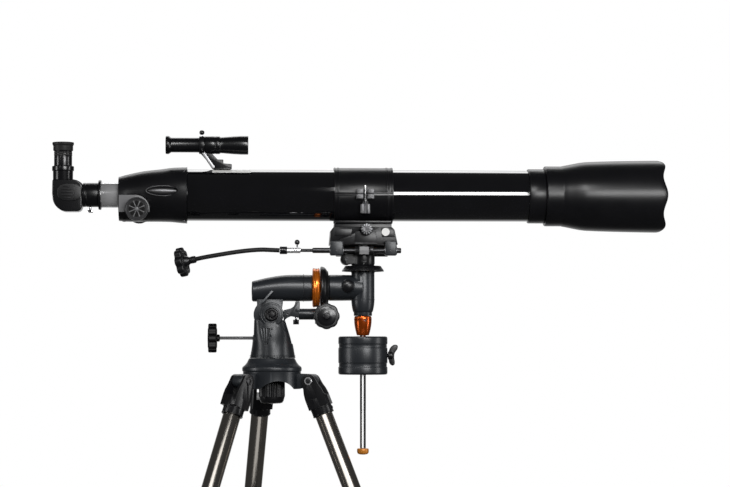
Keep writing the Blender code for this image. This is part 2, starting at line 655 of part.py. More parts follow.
def dec_cover():
    """The black cover under the saddle, with its rounded lobe to one side."""
    top, low = 0.1037, 0.1264
    cover = cylinder("dec_cover", 0.0214, -low, -top, from_tube(DEC_X), Z, SATIN_BLACK, 28)
    lobe = cylinder("cover_lobe", 0.0105, -0.0150, 0.0150, from_tube(-0.0245, 0.1150), Y, steps=20)
    bridge = block("cover_bridge", (-0.0260, -0.0150, -0.1240), (0.0050, 0.0150, -0.1050), bevel=0.001)
    bridge.location = from_tube(0)
    bore = cylinder("cover_bore", 0.0134, -0.14, -0.09, from_tube(DEC_X))
    return apply_all(cut(join(cover, lobe, bridge), bore))


def dec_shaft():
    return cylinder("dec_shaft", 0.0088, -0.2176, -0.0896, from_tube(DEC_X), Z, STEEL, 20)


def saddle():
    """The cast block that the dovetail bar sits in, with the worm's two bearing blocks."""
    half = 0.0310
    outline = [(-0.0481, -0.0578), (0.0562, -0.0578), (0.0611, -0.0626), (0.0670, -0.0895),
               (-0.0554, -0.0895), (-0.0530, -0.0637)]
    front = side_view() @ Matrix.Translation((0, TUBE_Z, 0))
    body = soften(plate("saddle", outline, 2 * half, front, GUNMETAL), 0.0015)
    blocks = []
    for k, (low, high) in enumerate(((-0.0545, -0.0316), (0.0436, 0.0642))):
        corner, other = (low, -WORM_DEC_OUT - 0.010, -0.1094), (high, -WORM_DEC_OUT + 0.011, -0.0830)
        bearing = block(f"bearing_{k}", corner, other, bevel=0.0018)
        bearing.location = from_tube(0)
        blocks.append(bearing)
    groove = block("dovetail_groove", (-0.08, -0.0223, -0.0663), (0.08, 0.0223, -0.05))
    groove.location = from_tube(0)
    worm = cylinder("worm_line", 0.0051, -0.1, 0.1, from_tube(0, WORM_DEC_DROP, -WORM_DEC_OUT), X, steps=16)
    clamp = cylinder("clamp_line", 0.0036, 0, 0.03, from_tube(0.0103, 0.0622, -0.045), Y, steps=12)
    return cut(join(cut(body, groove, clamp), *blocks), worm)


def saddle_clamp_knob():
    at = from_tube(0.0103, 0.0622)
    knob = turned("saddle_clamp_knob", [
        (0, 0.0450), (0.0090, 0.0450), (0.0112, 0.0430), (0.0112, 0.0350), (0.0080, 0.0314),
        (0.0032, 0.0314), (0.0032, 0.0226), (0, 0.0226)], at, -Y, CHROME, steps=20)
    on_axis("saddle_clamp", at, knob)


def dec_worm():
    """The declination worm with its shaft, and the coupling that the cable drives."""
    at = from_tube(0, WORM_DEC_DROP, -WORM_DEC_OUT)
    shaft = turned("dec_worm", [
        (0, 0.0725), (0.0048, 0.0725), (0.0048, 0.0236), (0.0080, 0.0226), (0.0080, -0.0100),
        (0.0048, -0.0110), (0.0048, -0.0856), (0.0029, -0.0866), (0.0029, -0.1072),
        (0.0050, -0.1080), (0.0050, -0.1313), (0.0067, -0.1320), (0.0067, -0.1450),
        (0, -0.1450)], at, X, CHROME, steps=16)
    screw = cylinder("coupling_screw", 0.0014, 0, 0.0110, at - X * 0.1137, Z, steps=8)
    ball = turned("coupling_ball", [(0, 0.0190), (0.0032, 0.0178), (0.0047, 0.0146), (0.0038, 0.0110),
                                    (0, 0.0098)], at - X * 0.1137, Z, steps=12)
    piece = apply_all(join(shaft, screw, ball))
    on_axis("dec_worm", at, piece)


# Route of the slow-motion cable: along X, out from the mount's plane, and below the optical axis
CABLE_ROUTE = [
    (-0.1453, -0.0350, 0.1003), (-0.1600, -0.0350, 0.0997), (-0.1790, -0.0354, 0.0992),
    (-0.2050, -0.0362, 0.1012), (-0.2321, -0.0362, 0.1049), (-0.2600, -0.0345, 0.1095),
    (-0.2800, -0.0315, 0.1130), (-0.2945, -0.0275, 0.1160),
]
CABLE_R = 0.0040


def cable_points(count=22):
    """An even walk along a smooth curve through the route."""
    route = [from_tube(x, drop, y) for x, y, drop in CABLE_ROUTE]
    padded = [2 * route[0] - route[1], *route, 2 * route[-1] - route[-2]]
    spans = len(route) - 1
    points = []
    for i in range(count):
        place_on = min(i / (count - 1) * spans, spans - 1e-6)
        span, t = int(place_on), place_on - int(place_on)
        a, b, c, d = padded[span:span + 4]
        points.append(0.5 * (2 * b + (c - a) * t + (2 * a - 5 * b + 4 * c - d) * t ** 2
                             + (3 * b - a - 3 * c + d) * t ** 3))
    return points


def dec_cable():
    curve = bpy.data.curves.new("dec_cable", "CURVE")
    curve.dimensions = "3D"
    curve.bevel_depth = CABLE_R
    curve.bevel_resolution = 2
    curve.use_fill_caps = True
    points = cable_points()
    spline = curve.splines.new("POLY")
    spline.points.add(len(points) - 1)
    for point, spot in zip(spline.points, points):
        point.co = (*spot, 1)
    cable = link(bpy.data.objects.new("dec_cable", curve), RUBBER)
    return cable, points


def cable_knob(points):
    """The hand knob on the cable's end, in line with the cable there."""
    axis = (points[-1] - points[-2]).normalized()
    start = points[-1] + axis * 0.0004
    neck = turned("cable_knob", [
        (0, 0.0345), (0.0100, 0.0345), (0.0120, 0.0320), (0.0120, 0.0280), (0.0090, 0.0150),
        (0.0062, 0.0110), (0.0062, 0), (0, 0)], start, axis, SATIN_BLACK, steps=20)
    middle = facing(start + axis * 0.0260, axis)
    rim = soften(plate("knob_rim", scalloped(0.0263, 0.0035, 8), 0.0130, middle), 0.0020)
    knob = apply_all(join(neck, rim))
    on_axis("cable_knob", start, knob)


# ---- counterweight ------------------------------------------------------
def counterweight_bar():
    at = from_tube(DEC_X)
    collar = turned("bar_lock_collar", [
        (BAR_R + GAP, -0.2180), (0.0140, -0.2180), (0.0158, -0.2200), (0.0158, -0.2270),
        (0.0148, -0.2330), (0.0121, -0.2520), (BAR_R + GAP, -0.2520)], at, Z, ORANGE, steps=20, ring=True)
    bar = cylinder("counterweight_bar", BAR_R, -0.4545, -0.2180, at, Z, CHROME, 20)
    cap = turned("bar_end_cap", [
        (0, -0.4550), (0.0095, -0.4550), (0.0105, -0.4560), (0.0105, -0.4620), (0.0085, -0.4650),
        (0, -0.4665)], at, Z, ORANGE)
    return collar, bar, cap


def counterweight():
    at = from_tube(DEC_X)
    outer, groove, low, top = 0.0443, 0.0432, -0.3226, -0.2538
    bore = BAR_R + 2 * GAP
    weight = turned("counterweight", [
        (bore, top), (outer - 0.0015, top), (outer, top - 0.0015), (outer, -0.2672),
        (groove, -0.2680), (groove, -0.2740), (outer, -0.2748), (outer, -0.3012),
        (groove, -0.3020), (groove, -0.3084), (outer, -0.3092), (outer, low + 0.0015),
        (outer - 0.0015, low), (bore, low)], at, Z, GUNMETAL, steps=28, ring=True)
    screw_z = 0.2882
    hole = cylinder("screw_hole", 0.0043, 0.0, 0.06, from_tube(DEC_X, screw_z), X, steps=12)
    apply_all(cut(weight, hole))
    stud_r, hub_r = 0.0039, 0.0072
    screw = turned("counterweight_screw", [
        (0, 0.0545), (hub_r - 0.0015, 0.0545), (hub_r, 0.0525), (hub_r, 0.0452), (stud_r, 0.0452),
        (stud_r, 0.0062), (0, 0.0062)], from_tube(DEC_X, screw_z), X, SATIN_BLACK, steps=16)
    wings = plate("screw_wings", [
        (0.0482, 0.0050), (0.0520, 0.0120), (0.0575, 0.0172), (0.0618, 0.0168), (0.0612, 0.0120),
        (0.0560, 0.0040), (0.0555, -0.0060), (0.0560, -0.0120), (0.0538, -0.0165),
        (0.0500, -0.0150), (0.0482, -0.0050),
    ], 0.0060, side_view() @ Matrix.Translation((DEC_X, TUBE_Z - screw_z, 0)))
    apply_all(join(screw, wings))
    on_axis("counterweight_screw", from_tube(DEC_X, screw_z), screw)


# ---- tube rings ---------------------------------------------------------
RING_BACK_X, RING_FRONT_X = -0.0472, 0.0586
HINGE_Y = 0.0560


def half_ring(name, side, finish):
    """Half of the wide clamp: side is 1 for the upper half and -1 for the lower."""
    inner, outer, band = TUBE_R + 0.0004, 0.0500, 0.0508
    profile = [
        (inner, RING_FRONT_X), (band, RING_FRONT_X), (band, RING_FRONT_X - 0.0120),
        (outer, RING_FRONT_X - 0.0125), (outer, RING_BACK_X + 0.0095),
        (band, RING_BACK_X + 0.0090), (band, RING_BACK_X), (inner, RING_BACK_X)]
    ring = turned(name, profile, from_tube(0), X, finish, steps=32, ring=True)
    near, far = sorted((-side * 0.08, side * GAP / 2))
    half = cut(ring, placed_block("ring_half", (-0.1, -0.1, near), (0.1, 0.1, far)))
    low, high = sorted((side * GAP / 2, side * 0.0088))
    for k, (left, right) in enumerate(((-0.0086, 0.0036), (0.0112, 0.0229))):
        join(half, placed_block(f"latch_pad_{k}", (left, -0.0620, low), (right, -0.0480, high)))
    return half


def placed_block(name, low, high, bevel=0.0):
    """A box given relative to the optical axis above the mount's centre."""
    made = block(name, low, high, bevel=bevel)
    made.location = from_tube(0)
    return made


def ring_clamp():
    lower = half_ring("ring_lower", -1, SATIN_BLACK)
    upper = half_ring("ring_upper", 1, SATIN_BLACK)
    hinge = from_tube(0, 0, HINGE_Y)
    for ring, spans in ((lower, ((-0.030, -0.011), (0.021, 0.040))), (upper, ((-0.0105, 0.0205),))):
        side = 1 if ring is upper else -1
        for k, (left, right) in enumerate(spans):
            join(ring, cylinder(f"knuckle_{k}", 0.0052, left, right, hinge, X, steps=16))
            low, high = sorted((side * 0.0008, side * 0.0048))
            join(ring, placed_block(f"strap_{k}", (left, 0.0475, low), (right, HINGE_Y, high)))
    pin = cylinder("ring_pin", 0.0022, -0.0300, 0.0400, hinge, X, steps=12)
    eye = cylinder("ring_eye", 0.0026, -0.06, 0.06, hinge, X, steps=12)
    foot = placed_block("ring_foot", (-0.0440, -0.0220, -0.0506), (0.0540, 0.0220, -0.0440))
    bore = cylinder("ring_bore", TUBE_R + 0.0004, -0.1, 0.1, from_tube(0), X, steps=40)
    apply_all(join(cut(join(lower, foot), bore), pin))
    apply_all(cut(upper, eye))
    on_axis("ring_upper", hinge, upper)
    latch = turned("ring_latch", [
        (0, 0.0157), (0.0016, 0.0157), (0.0016, -0.0120), (0.0055, -0.0130), (0.0070, -0.0184),
        (0.0083, -0.0190), (0.0083, -0.0340), (0.0070, -0.0349), (0, -0.0349)],
        from_tube(0.0074, 0, -0.0565), Z, CHROME, steps=16)
    on_axis("ring_latch", from_tube(0.0074, 0, -0.0565), latch)


def dovetail_bar():
    bar = placed_block("dovetail_bar", (-0.0467, -0.0220, -0.0660), (0.0562, 0.0220, -0.0509), 0.0012)
    bar.data.materials.append(SATIN_BLACK)
    return bar


# ---- optical tube -------------------------------------------------------
def optical_tube():
    at = from_tube(0)
    tube("main_tube", TUBE_R, TUBE_R - 0.0015, TUBE_BACK_X, TUBE_FRONT_X, at, X, GLOSS_BLACK, 32)
    cell_r, lens_r = 0.0492, 0.0435
    seat = TUBE_FRONT_X + GAP
    turned("objective_cell", [
        (lens_r + GAP, 0.3550), (0.0470, 0.3550), (0.0470, 0.3344), (cell_r, 0.3340),
        (cell_r, seat), (0.0418, seat), (0.0418, 0.3120), (lens_r + GAP, 0.3120)],
        at, X, SATIN_BLACK, 32, ring=True)
    turned("objective_lens", [
        (0, 0.3285), (0.0200, 0.3275), (0.0330, 0.3255), (lens_r, 0.3230), (lens_r, 0.3140),
        (0.0300, 0.3128), (0, 0.3124)], at, X, GLASS, 32)
    front = SHIELD_FRONT_X
    turned("dew_shield", [
        (0.0590, front - 0.0010), (0.0615, front), (0.0640, front - 0.0025), (0.0653, front - 0.0100),
        (0.0652, 0.5150), (0.0640, 0.4500), (0.0621, 0.4054), (0.0585, 0.3850), (0.0546, 0.3655),
        (0.0543, 0.3648), (0.0543, 0.3350), (0.0530, 0.3344), (0.0474, 0.3344),
        (0.0474, 0.3560), (0.0510, 0.3600), (0.0550, 0.3850), (0.0600, 0.4400),
        (0.0610, front - 0.0300)], at, X, SATIN_BLACK, 32, ring=True)


def focuser_housing():
    """The tapering rear casting, drawn in towards the drawtube."""
    shape = [
        (-0.4330, 0.0325, -0.0465, 0.0350), (-0.4316, 0.0336, -0.0479, 0.0365),
        (-0.4172, 0.0369, -0.0479, 0.0400), (-0.3884, 0.0430, -0.0479, 0.0440),
        (-0.3596, 0.0463, -0.0479, 0.0468), (-0.3400, 0.0492, -0.0485, 0.0492),
        (-0.3250, 0.0501, -0.0500, 0.0504), (TUBE_BACK_X - GAP, 0.0502, -0.0509, 0.0506),
    ]
    rings = [(x, oval((top - low) / 2, side, 2.1, (-(top + low) / 2, 0), 28))
             for x, top, low, side in shape]
    along = Matrix.Translation((0, SIDE_Y, TUBE_Z)) @ Matrix.Rotation(math.pi / 2, 4, "Y")
    housing = loft("focuser_housing", rings, along, SATIN_BLACK)
    bore = cylinder("drawtube_bore", DRAWTUBE_R + 0.0004, -0.5, -0.2, from_tube(0), X, steps=28)
    recess = cylinder("light_bore", 0.0415, -0.3330, -0.2, from_tube(0), X, steps=28)
    pinion = pinion_place()
    pocket = cylinder("pinion_pocket", 0.0060, -0.0090, 0.0090, pinion, Y, steps=16)
    shaft = cylinder("pinion_bore", 0.0032, -0.08, 0.08, pinion, Y, steps=12)
    return apply_all(cut(housing, bore, recess, pocket, shaft))


def pinion_place():
    return from_tube(-0.3992, 0.0277)


def focus_pinion():
    """The pinion shaft with a focus knob on each end."""
    wheel, shaft, knob = 0.0044, 0.0029, 0.0212
    inner, outer = 0.0440, 0.0575
    half = [(shaft, inner), (0.0100, inner), (knob - 0.001, inner + 0.0010), (knob, inner + 0.0025),
            (knob, outer - 0.0020), (knob - 0.0015, outer), (0.0130, outer), (0.0120, outer - 0.0020),
            (0, outer - 0.0020)]
    profile = [(r, h) for r, h in reversed(half)] + [(shaft, 0.0080), (wheel, 0.0080)]
    profile += [(r, -h) for r, h in reversed(profile)]
    piece = turned("focus_pinion", profile, pinion_place(), -Y, SATIN_BLACK)
    on_axis("focus_pinion", pinion_place(), piece)


def drawtube():
    """Chrome sliding tube with its end flange and the eyepiece adapter."""
    wall, flange_r, adapter_r, nose = 0.0018, 0.0266, 0.0217, BARREL_R + GAP
    tube_piece = turned("drawtube", [
        (DRAWTUBE_R, -0.3450), (DRAWTUBE_R, -0.4661), (flange_r, -0.4663), (flange_r, -0.4697),
        (adapter_r, -0.4699), (adapter_r, -0.4975), (nose, -0.4975), (nose, -0.4650),
        (DRAWTUBE_R - wall, -0.4600), (DRAWTUBE_R - wall, -0.3450)],
        from_tube(0), X, CHROME, 24, ring=True)
    thumb = cylinder("adapter_screw", 0.0048, 0.0205, 0.0320, from_tube(-0.4847), -Z, steps=12)
    apply_all(join(tube_piece, thumb))
    on_axis("drawtube", from_tube(0), tube_piece)


def star_diagonal():
    """The elbow that turns the light up to the eyepiece, hollow along both arms."""
    outline = [(-0.4980, 0.0202), (-0.5145, 0.0275), (-0.5518, 0.0265), (-0.5518, 0.0020)]
    outline += arc((-0.5270, -0.0056), 0.0248, 180, 270)
    outline += [(-0.5032, -0.0304), (-0.4980, -0.0221)]
    front = side_view() @ Matrix.Translation((0, TUBE_Z, 0))
    elbow = soften(plate("star_diagonal", outline, 0.0362, front, SATIN_BLACK), 0.0030)
    up = from_tube(EYEPIECE_X)
    barrel = turned("diagonal_barrel", [
        (0, 0.0515), (0.0192, 0.0515), (0.0196, 0.0505), (0.0196, 0.0440), (0.0192, 0.0430),
        (0.0181, 0.0430), (0.0181, 0.0200), (0, 0.0200)], up, Z)
    nose = cylinder("diagonal_nose", BARREL_R, -0.5000, -0.4700, from_tube(0), X)
    seat_r, light_r = BARREL_R + GAP, 0.0118
    down = turned("light_down", [(0, 0.08), (seat_r, 0.08), (seat_r, 0.0180), (light_r, 0.0180),
                                 (light_r, 0), (0, 0)], up, Z)
    across = cylinder("light_across", 0.0128, EYEPIECE_X - 0.0135, -0.4, from_tube(0), X)
    apply_all(cut(join(elbow, barrel, nose), down, across))
    on_axis("star_diagonal", from_tube(0), elbow)


def eyepiece():
    """The lens barrel with its eye cup, closed by the lenses between the two ends."""
    up = from_tube(EYEPIECE_X)
    piece = turned("eyepiece", [
        (0, 0.0870), (0.0095, 0.0862), (0.0105, 0.0930), (0.0180, 0.0947), (0.0194, 0.0935),
        (0.0192, 0.0902), (0.0176, 0.0885), (0.0176, 0.0792), (0.0161, 0.0785),
        (0.0161, 0.0518), (BARREL_R, 0.0514), (BARREL_R, 0.0230), (0.0140, 0.0230),
        (0.0140, 0.0500), (0, 0.0520)],
        up, Z, SATIN_BLACK, 24)
    on_axis("eyepiece", up, piece)


# ---- finder -------------------------------------------------------------
def finder():
    rise = 0.0906
    at = from_tube(0, -rise)
    turned("finder_scope", [
        (0, -0.2020), (0.0145, -0.2020), (0.0150, -0.2012), (0.0168, -0.2012), (0.0168, -0.2120),
        (0.0142, -0.2500), (0.0160, -0.2528), (0.0160, -0.2795), (0.0132, -0.2800),
        (0.0132, -0.3415), (0.0164, -0.3444), (0.0164, -0.3490), (0.0150, -0.3500),
        (0, -0.3500)], at, X, SATIN_BLACK, 24)
    bracket = tube("finder_bracket", 0.0160, 0.0135, -0.2897, -0.2801, at, X, SATIN_BLACK, 24)
    crown = TUBE_R
    arm = plate("finder_arm", [
        (-0.2895, 0.0765), (-0.2830, 0.0760), (-0.2600, 0.0655), (-0.2320, 0.0560),
        (-0.2308, crown + 0.0008), (-0.2600, crown + 0.0008), (-0.2700, 0.0560),
    ], 0.0150, side_view() @ Matrix.Translation((0, TUBE_Z, 0)))
    knob = turned("finder_knob", [
        (0, 0.0270), (0.0040, 0.0262), (0.0046, 0.0225), (0.0035, 0.0190), (0.0016, 0.0185),
        (0.0016, 0.0140), (0, 0.0140)], at - X * 0.2849, Z, steps=12)
    apply_all(join(bracket, arm, knob))


def main():
    clear_scene()
    tripod_hub()
    azimuth_lock_knob()
    tripod_legs()
    brace_hub_and_tray()
    on_axis("azimuth", (PIER_X, SIDE_Y, HUB_TOP_Z), azimuth_base(), latitude_bolt(), latitude_screw())
    latitude = (LATITUDE_X, SIDE_Y, LATITUDE_Z)
    on_axis("latitude", latitude, polar_housing(), ra_worm_bracket())
    ra_discs()
    dec_housing()
    ra_slow_motion()
    cable, route = dec_cable()
    on_axis("saddle", from_tube(DEC_X), saddle(), dec_cover(), dec_shaft(), cable)
    dec_discs()
    saddle_clamp_knob()
    dec_worm()
    cable_knob(route)
    counterweight_bar()
    counterweight()
    ring_clamp()
    dovetail_bar()
    optical_tube()
    focuser_housing()
    focus_pinion()
    drawtube()
    star_diagonal()
    eyepiece()
    finder()
    for obj in MODEL.objects:
        if obj.type == "MESH":
            smooth(apply_all(obj))


main()
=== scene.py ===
"""Looks for the telescope on its tripod: smooth detailed pieces, finishes, light and camera.

Every piece stands for one CAD node, in the same frame: +X along the tube to the
objective, +Z up, the feet on z = 0. All sizes are in metres.
"""
import json
import math

import bmesh
import bpy
from mathutils import Matrix, Vector

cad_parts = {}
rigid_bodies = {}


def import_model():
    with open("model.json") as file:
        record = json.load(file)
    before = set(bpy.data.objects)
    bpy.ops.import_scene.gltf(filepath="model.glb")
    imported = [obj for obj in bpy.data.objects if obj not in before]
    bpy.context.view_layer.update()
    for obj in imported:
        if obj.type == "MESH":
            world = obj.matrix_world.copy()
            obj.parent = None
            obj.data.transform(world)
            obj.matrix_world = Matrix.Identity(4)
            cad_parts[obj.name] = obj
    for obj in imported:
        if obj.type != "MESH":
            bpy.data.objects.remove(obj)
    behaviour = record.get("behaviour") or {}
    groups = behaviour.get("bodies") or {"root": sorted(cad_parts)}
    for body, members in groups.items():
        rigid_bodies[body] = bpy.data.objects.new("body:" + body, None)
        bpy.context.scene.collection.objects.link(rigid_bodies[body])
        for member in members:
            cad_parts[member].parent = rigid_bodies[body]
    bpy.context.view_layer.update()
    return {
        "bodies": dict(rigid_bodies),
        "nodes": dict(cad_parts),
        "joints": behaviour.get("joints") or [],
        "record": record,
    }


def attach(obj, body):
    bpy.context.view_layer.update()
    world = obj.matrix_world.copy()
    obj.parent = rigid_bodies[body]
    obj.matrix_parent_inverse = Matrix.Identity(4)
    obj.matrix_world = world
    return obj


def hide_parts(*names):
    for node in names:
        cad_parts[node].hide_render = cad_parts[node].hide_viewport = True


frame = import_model()

# ---- driving dimensions, as in the CAD ----------------------------------
TUBE_Z = 1.084
RA_Z = TUBE_Z - 0.1663
LATITUDE_Z = RA_Z - 0.0486
PIVOT_Z = TUBE_Z - 0.3337
HUB_TOP_Z = PIVOT_Z + 0.0407
LATITUDE_SCREW_Z = PIVOT_Z + 0.0769
SIDE_Y = -0.0560
PIER_X = -0.1580
LATITUDE_X = -0.1592
DEC_X = 0.0057
GAP = 0.0003
TUBE_R = 0.0463
TUBE_BACK_X = -0.3109
TUBE_FRONT_X = 0.3038
SHIELD_FRONT_X = 0.5531
DRAWTUBE_R = 0.0229
EYEPIECE_X = -0.5337
BARREL_R = 0.0158
WORM_RA_X = -0.0622
WORM_RA_DROP = 0.0522
WORM_DEC_OUT = 0.0350
WORM_DEC_DROP = 0.1003
SHAFT_BORE = 0.0092
BAR_R = 0.0054
LEG_PIVOT_R = 0.0730
LEG_TILT = math.radians(21.7)
LEG_AZIMUTHS = [math.radians(-12.5 + 120 * k) for k in range(3)]
LEG_TUBE_R = 0.01588
LEG_TUBE_END = 0.655
LOWER_TUBE_R = 0.0140
BRACE_ALONG = 0.440
BRACE_IN = 0.0270
BRACE_SLOPE = math.radians(30)
BRACE_HUB_R = 0.0340
X, Y, Z = Vector((1, 0, 0)), Vector((0, 1, 0)), Vector((0, 0, 1))
UPRIGHT = Matrix.Rotation(math.pi / 2, 4, "X")
BODY_OF = {node: body for body, nodes in frame["record"]["behaviour"]["bodies"].items()
           for node in nodes}


def from_tube(x, drop=0.0, y=0.0):
    """A point by its X, its drop below the tube's axis and its depth from it."""
    return Vector((x, SIDE_Y + y, TUBE_Z - drop))


# ---- camera -------------------------------------------------------------
def add_camera():
    target = Vector((0.0095, SIDE_Y, 0.9978))
    distance, height, yaw = 4.40, 0.806, math.radians(2.8)
    data = bpy.data.cameras.new("camera")
    data.sensor_width = 36
    data.lens = 120.3
    camera = bpy.data.objects.new("camera", data)
    bpy.context.scene.collection.objects.link(camera)
    camera.location = target - distance * Vector((math.sin(yaw), math.cos(yaw), 0))
    camera.location.z = height
    camera.rotation_euler = (target - camera.location).to_track_quat("-Z", "Y").to_euler()
    bpy.context.scene.camera = camera


add_camera()

# ---- slow-motion cable --------------------------------------------------
CABLE_ROUTE = [
    (-0.1453, -0.0350, 0.1003), (-0.1600, -0.0350, 0.0997), (-0.1790, -0.0354, 0.0992),
    (-0.2050, -0.0362, 0.1012), (-0.2321, -0.0362, 0.1049), (-0.2600, -0.0345, 0.1095),
    (-0.2800, -0.0315, 0.1130), (-0.2945, -0.0275, 0.1160),
]
CABLE_R = 0.0040


def spline_point(a, b, c, d, t):
    """The point at t between b and c of a smooth curve through all four."""
    return 0.5 * (2 * b + (c - a) * t + (2 * a - 5 * b + 4 * c - d) * t ** 2
                  + (3 * b - a - 3 * c + d) * t ** 3)


def cable_points(count=40):
    """An even walk along a smooth curve through the route."""
    route = [from_tube(x, drop, y) for x, y, drop in CABLE_ROUTE]
    padded = [2 * route[0] - route[1], *route, 2 * route[-1] - route[-2]]
    spans = len(route) - 1
    points = []
    for i in range(count):
        place_on = min(i / (count - 1) * spans, spans - 1e-6)
        span = int(place_on)
        points.append(spline_point(*padded[span:span + 4], place_on - span))
    return points


def add_cable():
    points = cable_points()
    cable = piece("dec_cable", tube_along(points, CABLE_R, RUBBER, 16))


# ---- finishes -----------------------------------------------------------
def map_range(tree, value, low, high, start=0.3, end=0.7):
    node = tree.nodes.new("ShaderNodeMapRange")
    for socket, number in (("From Min", start), ("From Max", end), ("To Min", low), ("To Max", high)):
        node.inputs[socket].default_value = number
    tree.links.new(value, node.inputs["Value"])
    return node


def finish(name, color, roughness, metallic=0.0, grain=900, relief=0.05, mottle=0.25,
           wear=0.0, stretch=(1, 1, 1), coat=0.0, spread=0.03, gloss=0.5):
    """A paint, plastic or metal with fine grain, uneven gloss and worn edges."""
    made = bpy.data.materials.new(name)
    made.use_nodes = True
    nodes, links = made.node_tree.nodes, made.node_tree.links
    shader = nodes["Principled BSDF"]
    shader.inputs["Metallic"].default_value = metallic
    shader.inputs["Specular IOR Level"].default_value = gloss
    shader.inputs["Coat Weight"].default_value = coat
    shader.inputs["Coat Roughness"].default_value = 0.04
    where = nodes.new("ShaderNodeTexCoord")
    scaled = nodes.new("ShaderNodeMapping")
    scaled.inputs["Scale"].default_value = stretch
    links.new(where.outputs["Object"], scaled.inputs["Vector"])

    def noise(scale, detail):
        node = nodes.new("ShaderNodeTexNoise")
        node.inputs["Scale"].default_value = scale
        node.inputs["Detail"].default_value = detail
        links.new(scaled.outputs["Vector"], node.inputs["Vector"])
        return node.outputs["Fac"]

    def ranged(*numbers):
        return map_range(made.node_tree, *numbers).outputs["Result"]

    def mixed(factor, first, second):
        node = nodes.new("ShaderNodeMix")
        node.data_type = "RGBA"
        links.new(factor, node.inputs["Factor"])
        for socket, value in ((node.inputs["A"], first), (node.inputs["B"], second)):
            if isinstance(value, tuple):
                socket.default_value = (*value, 1)
            else:
                links.new(value, socket)
        return node.outputs["Result"]

    darker = tuple(c * (1 - mottle) for c in color)
    broad, fine = noise(22, 2), noise(grain * 0.4, 2)
    tone = mixed(ranged(broad, 0, 1), darker, color)
    if wear:
        geometry = nodes.new("ShaderNodeNewGeometry")
        edge = ranged(geometry.outputs["Pointiness"], 0, wear, 0.53, 0.62)
        pale = tuple(min(1, c * 3 + 0.05) for c in color)
        tone = mixed(edge, tone, pale)
    links.new(tone, shader.inputs["Base Color"])
    blend = nodes.new("ShaderNodeMath")
    blend.operation = "ADD"
    links.new(ranged(broad, roughness - spread / 2, roughness + spread / 2), blend.inputs[0])
    links.new(ranged(fine, -spread / 4, spread / 4), blend.inputs[1])
    links.new(blend.outputs["Value"], shader.inputs["Roughness"])
    bump = nodes.new("ShaderNodeBump")
    bump.inputs["Strength"].default_value = relief
    bump.inputs["Distance"].default_value = 0.0003
    links.new(fine, bump.inputs["Height"])
    links.new(bump.outputs["Normal"], shader.inputs["Normal"])
    return made


def glass(name, tint):
    made = finish(name, tint, 0.03, grain=400, relief=0.0, mottle=0.05, spread=0.02)
    shader = made.node_tree.nodes["Principled BSDF"]
    shader.inputs["Transmission Weight"].default_value = 0.9
    shader.inputs["IOR"].default_value = 1.52
    return made


LACQUER = finish("gloss_black_lacquer", (0.003, 0.003, 0.004), 0.06, grain=160, relief=0.008,
                 coat=1.0, spread=0.01)
SATIN = finish("satin_black_paint", (0.005, 0.005, 0.006), 0.30, grain=1500, relief=0.04, wear=0.15,
               gloss=0.32)
PLASTIC = finish("black_moulded_plastic", (0.006, 0.006, 0.007), 0.36, grain=1100, relief=0.06,
                 wear=0.15, gloss=0.40)
SMOOTH_PLASTIC = finish("smooth_black_plastic", (0.004, 0.004, 0.005), 0.24, grain=700,
                        relief=0.002, gloss=0.45, spread=0.015)
RUBBER = finish("black_rubber", (0.008, 0.008, 0.008), 0.55, grain=1800, relief=0.10, gloss=0.35)
GUNMETAL = finish("gunmetal_enamel", (0.014, 0.016, 0.019), 0.33, 0.15, grain=1300, relief=0.03,
                  mottle=0.10, wear=0.25, gloss=0.45, spread=0.02)
DARK_STEEL = finish("blackened_steel", (0.05, 0.05, 0.052), 0.35, 0.9, grain=900, relief=0.05)
STAINLESS = finish("polished_stainless", (0.60, 0.56, 0.51), 0.18, 1.0, grain=2600, relief=0.015,
                   mottle=0.10, stretch=(1, 1, 0.004), spread=0.03)
TURNED_STEEL = finish("turned_bar_steel", (0.62, 0.62, 0.62), 0.20, 1.0, grain=1500, relief=0.015,
                      mottle=0.18, stretch=(1, 1, 0.05), spread=0.03)
CHROME = finish("chrome_plate", (0.72, 0.72, 0.74), 0.12, 1.0, grain=900, relief=0.01,
                mottle=0.06, spread=0.015)
BRIGHT = finish("bright_plated_tube", (0.74, 0.74, 0.75), 0.17, 0.72, grain=1200, relief=0.02,
                mottle=0.06, spread=0.015)
# Grey steel for pads and nuts; also the lighter grey of the focuser recess's pearl and lip, painted
# highlight there.
GREY_STEEL_AND_HIGHLIGHT = finish("machined_grey_steel", (0.17, 0.17, 0.175), 0.42, 0.85, grain=1500, relief=0.08)
# Satin aluminium for bushes, marks and shafts; also the thin light line along the saddle's lower edge,
# painted highlight there.
SATIN_ALUMINIUM_AND_HIGHLIGHT = finish("satin_aluminium", (0.34, 0.34, 0.35), 0.38, 1.0, grain=1500, relief=0.06)
# Grey plastic for the focuser's inset panel; also the thin spokes on the focus knob faces, painted highlight
# on the ridges between the petals.
GREY_PLASTIC_AND_HIGHLIGHT = finish("grey_plastic", (0.16, 0.16, 0.165), 0.36, grain=1200, relief=0.05, gloss=0.4)
DARK_GREY = finish("dark_grey_plastic", (0.045, 0.045, 0.048), 0.38, grain=1200, relief=0.05, gloss=0.4)
ORANGE = finish("orange_anodised", (0.78, 0.19, 0.012), 0.24, 0.6, grain=1400, relief=0.03,
                mottle=0.45)
# A darker copy of the orange: painted shade on the setting circle's rims, and the deep orange lip of the bar
# lock collar.
DEEP_ORANGE_AND_RIM_SHADE = finish("deep_orange_anodised_and_painted_rim_shade", (0.22, 0.020, 0.004), 0.25, 0.9, grain=1400)
END_CAP = finish("orange_moulding", (0.56, 0.20, 0.020), 0.35, 0.3, grain=1400, relief=0.03)
AMBER = finish("amber_anodised", (0.42, 0.070, 0.005), 0.22, 0.75, grain=1400, relief=0.03, mottle=0.4)
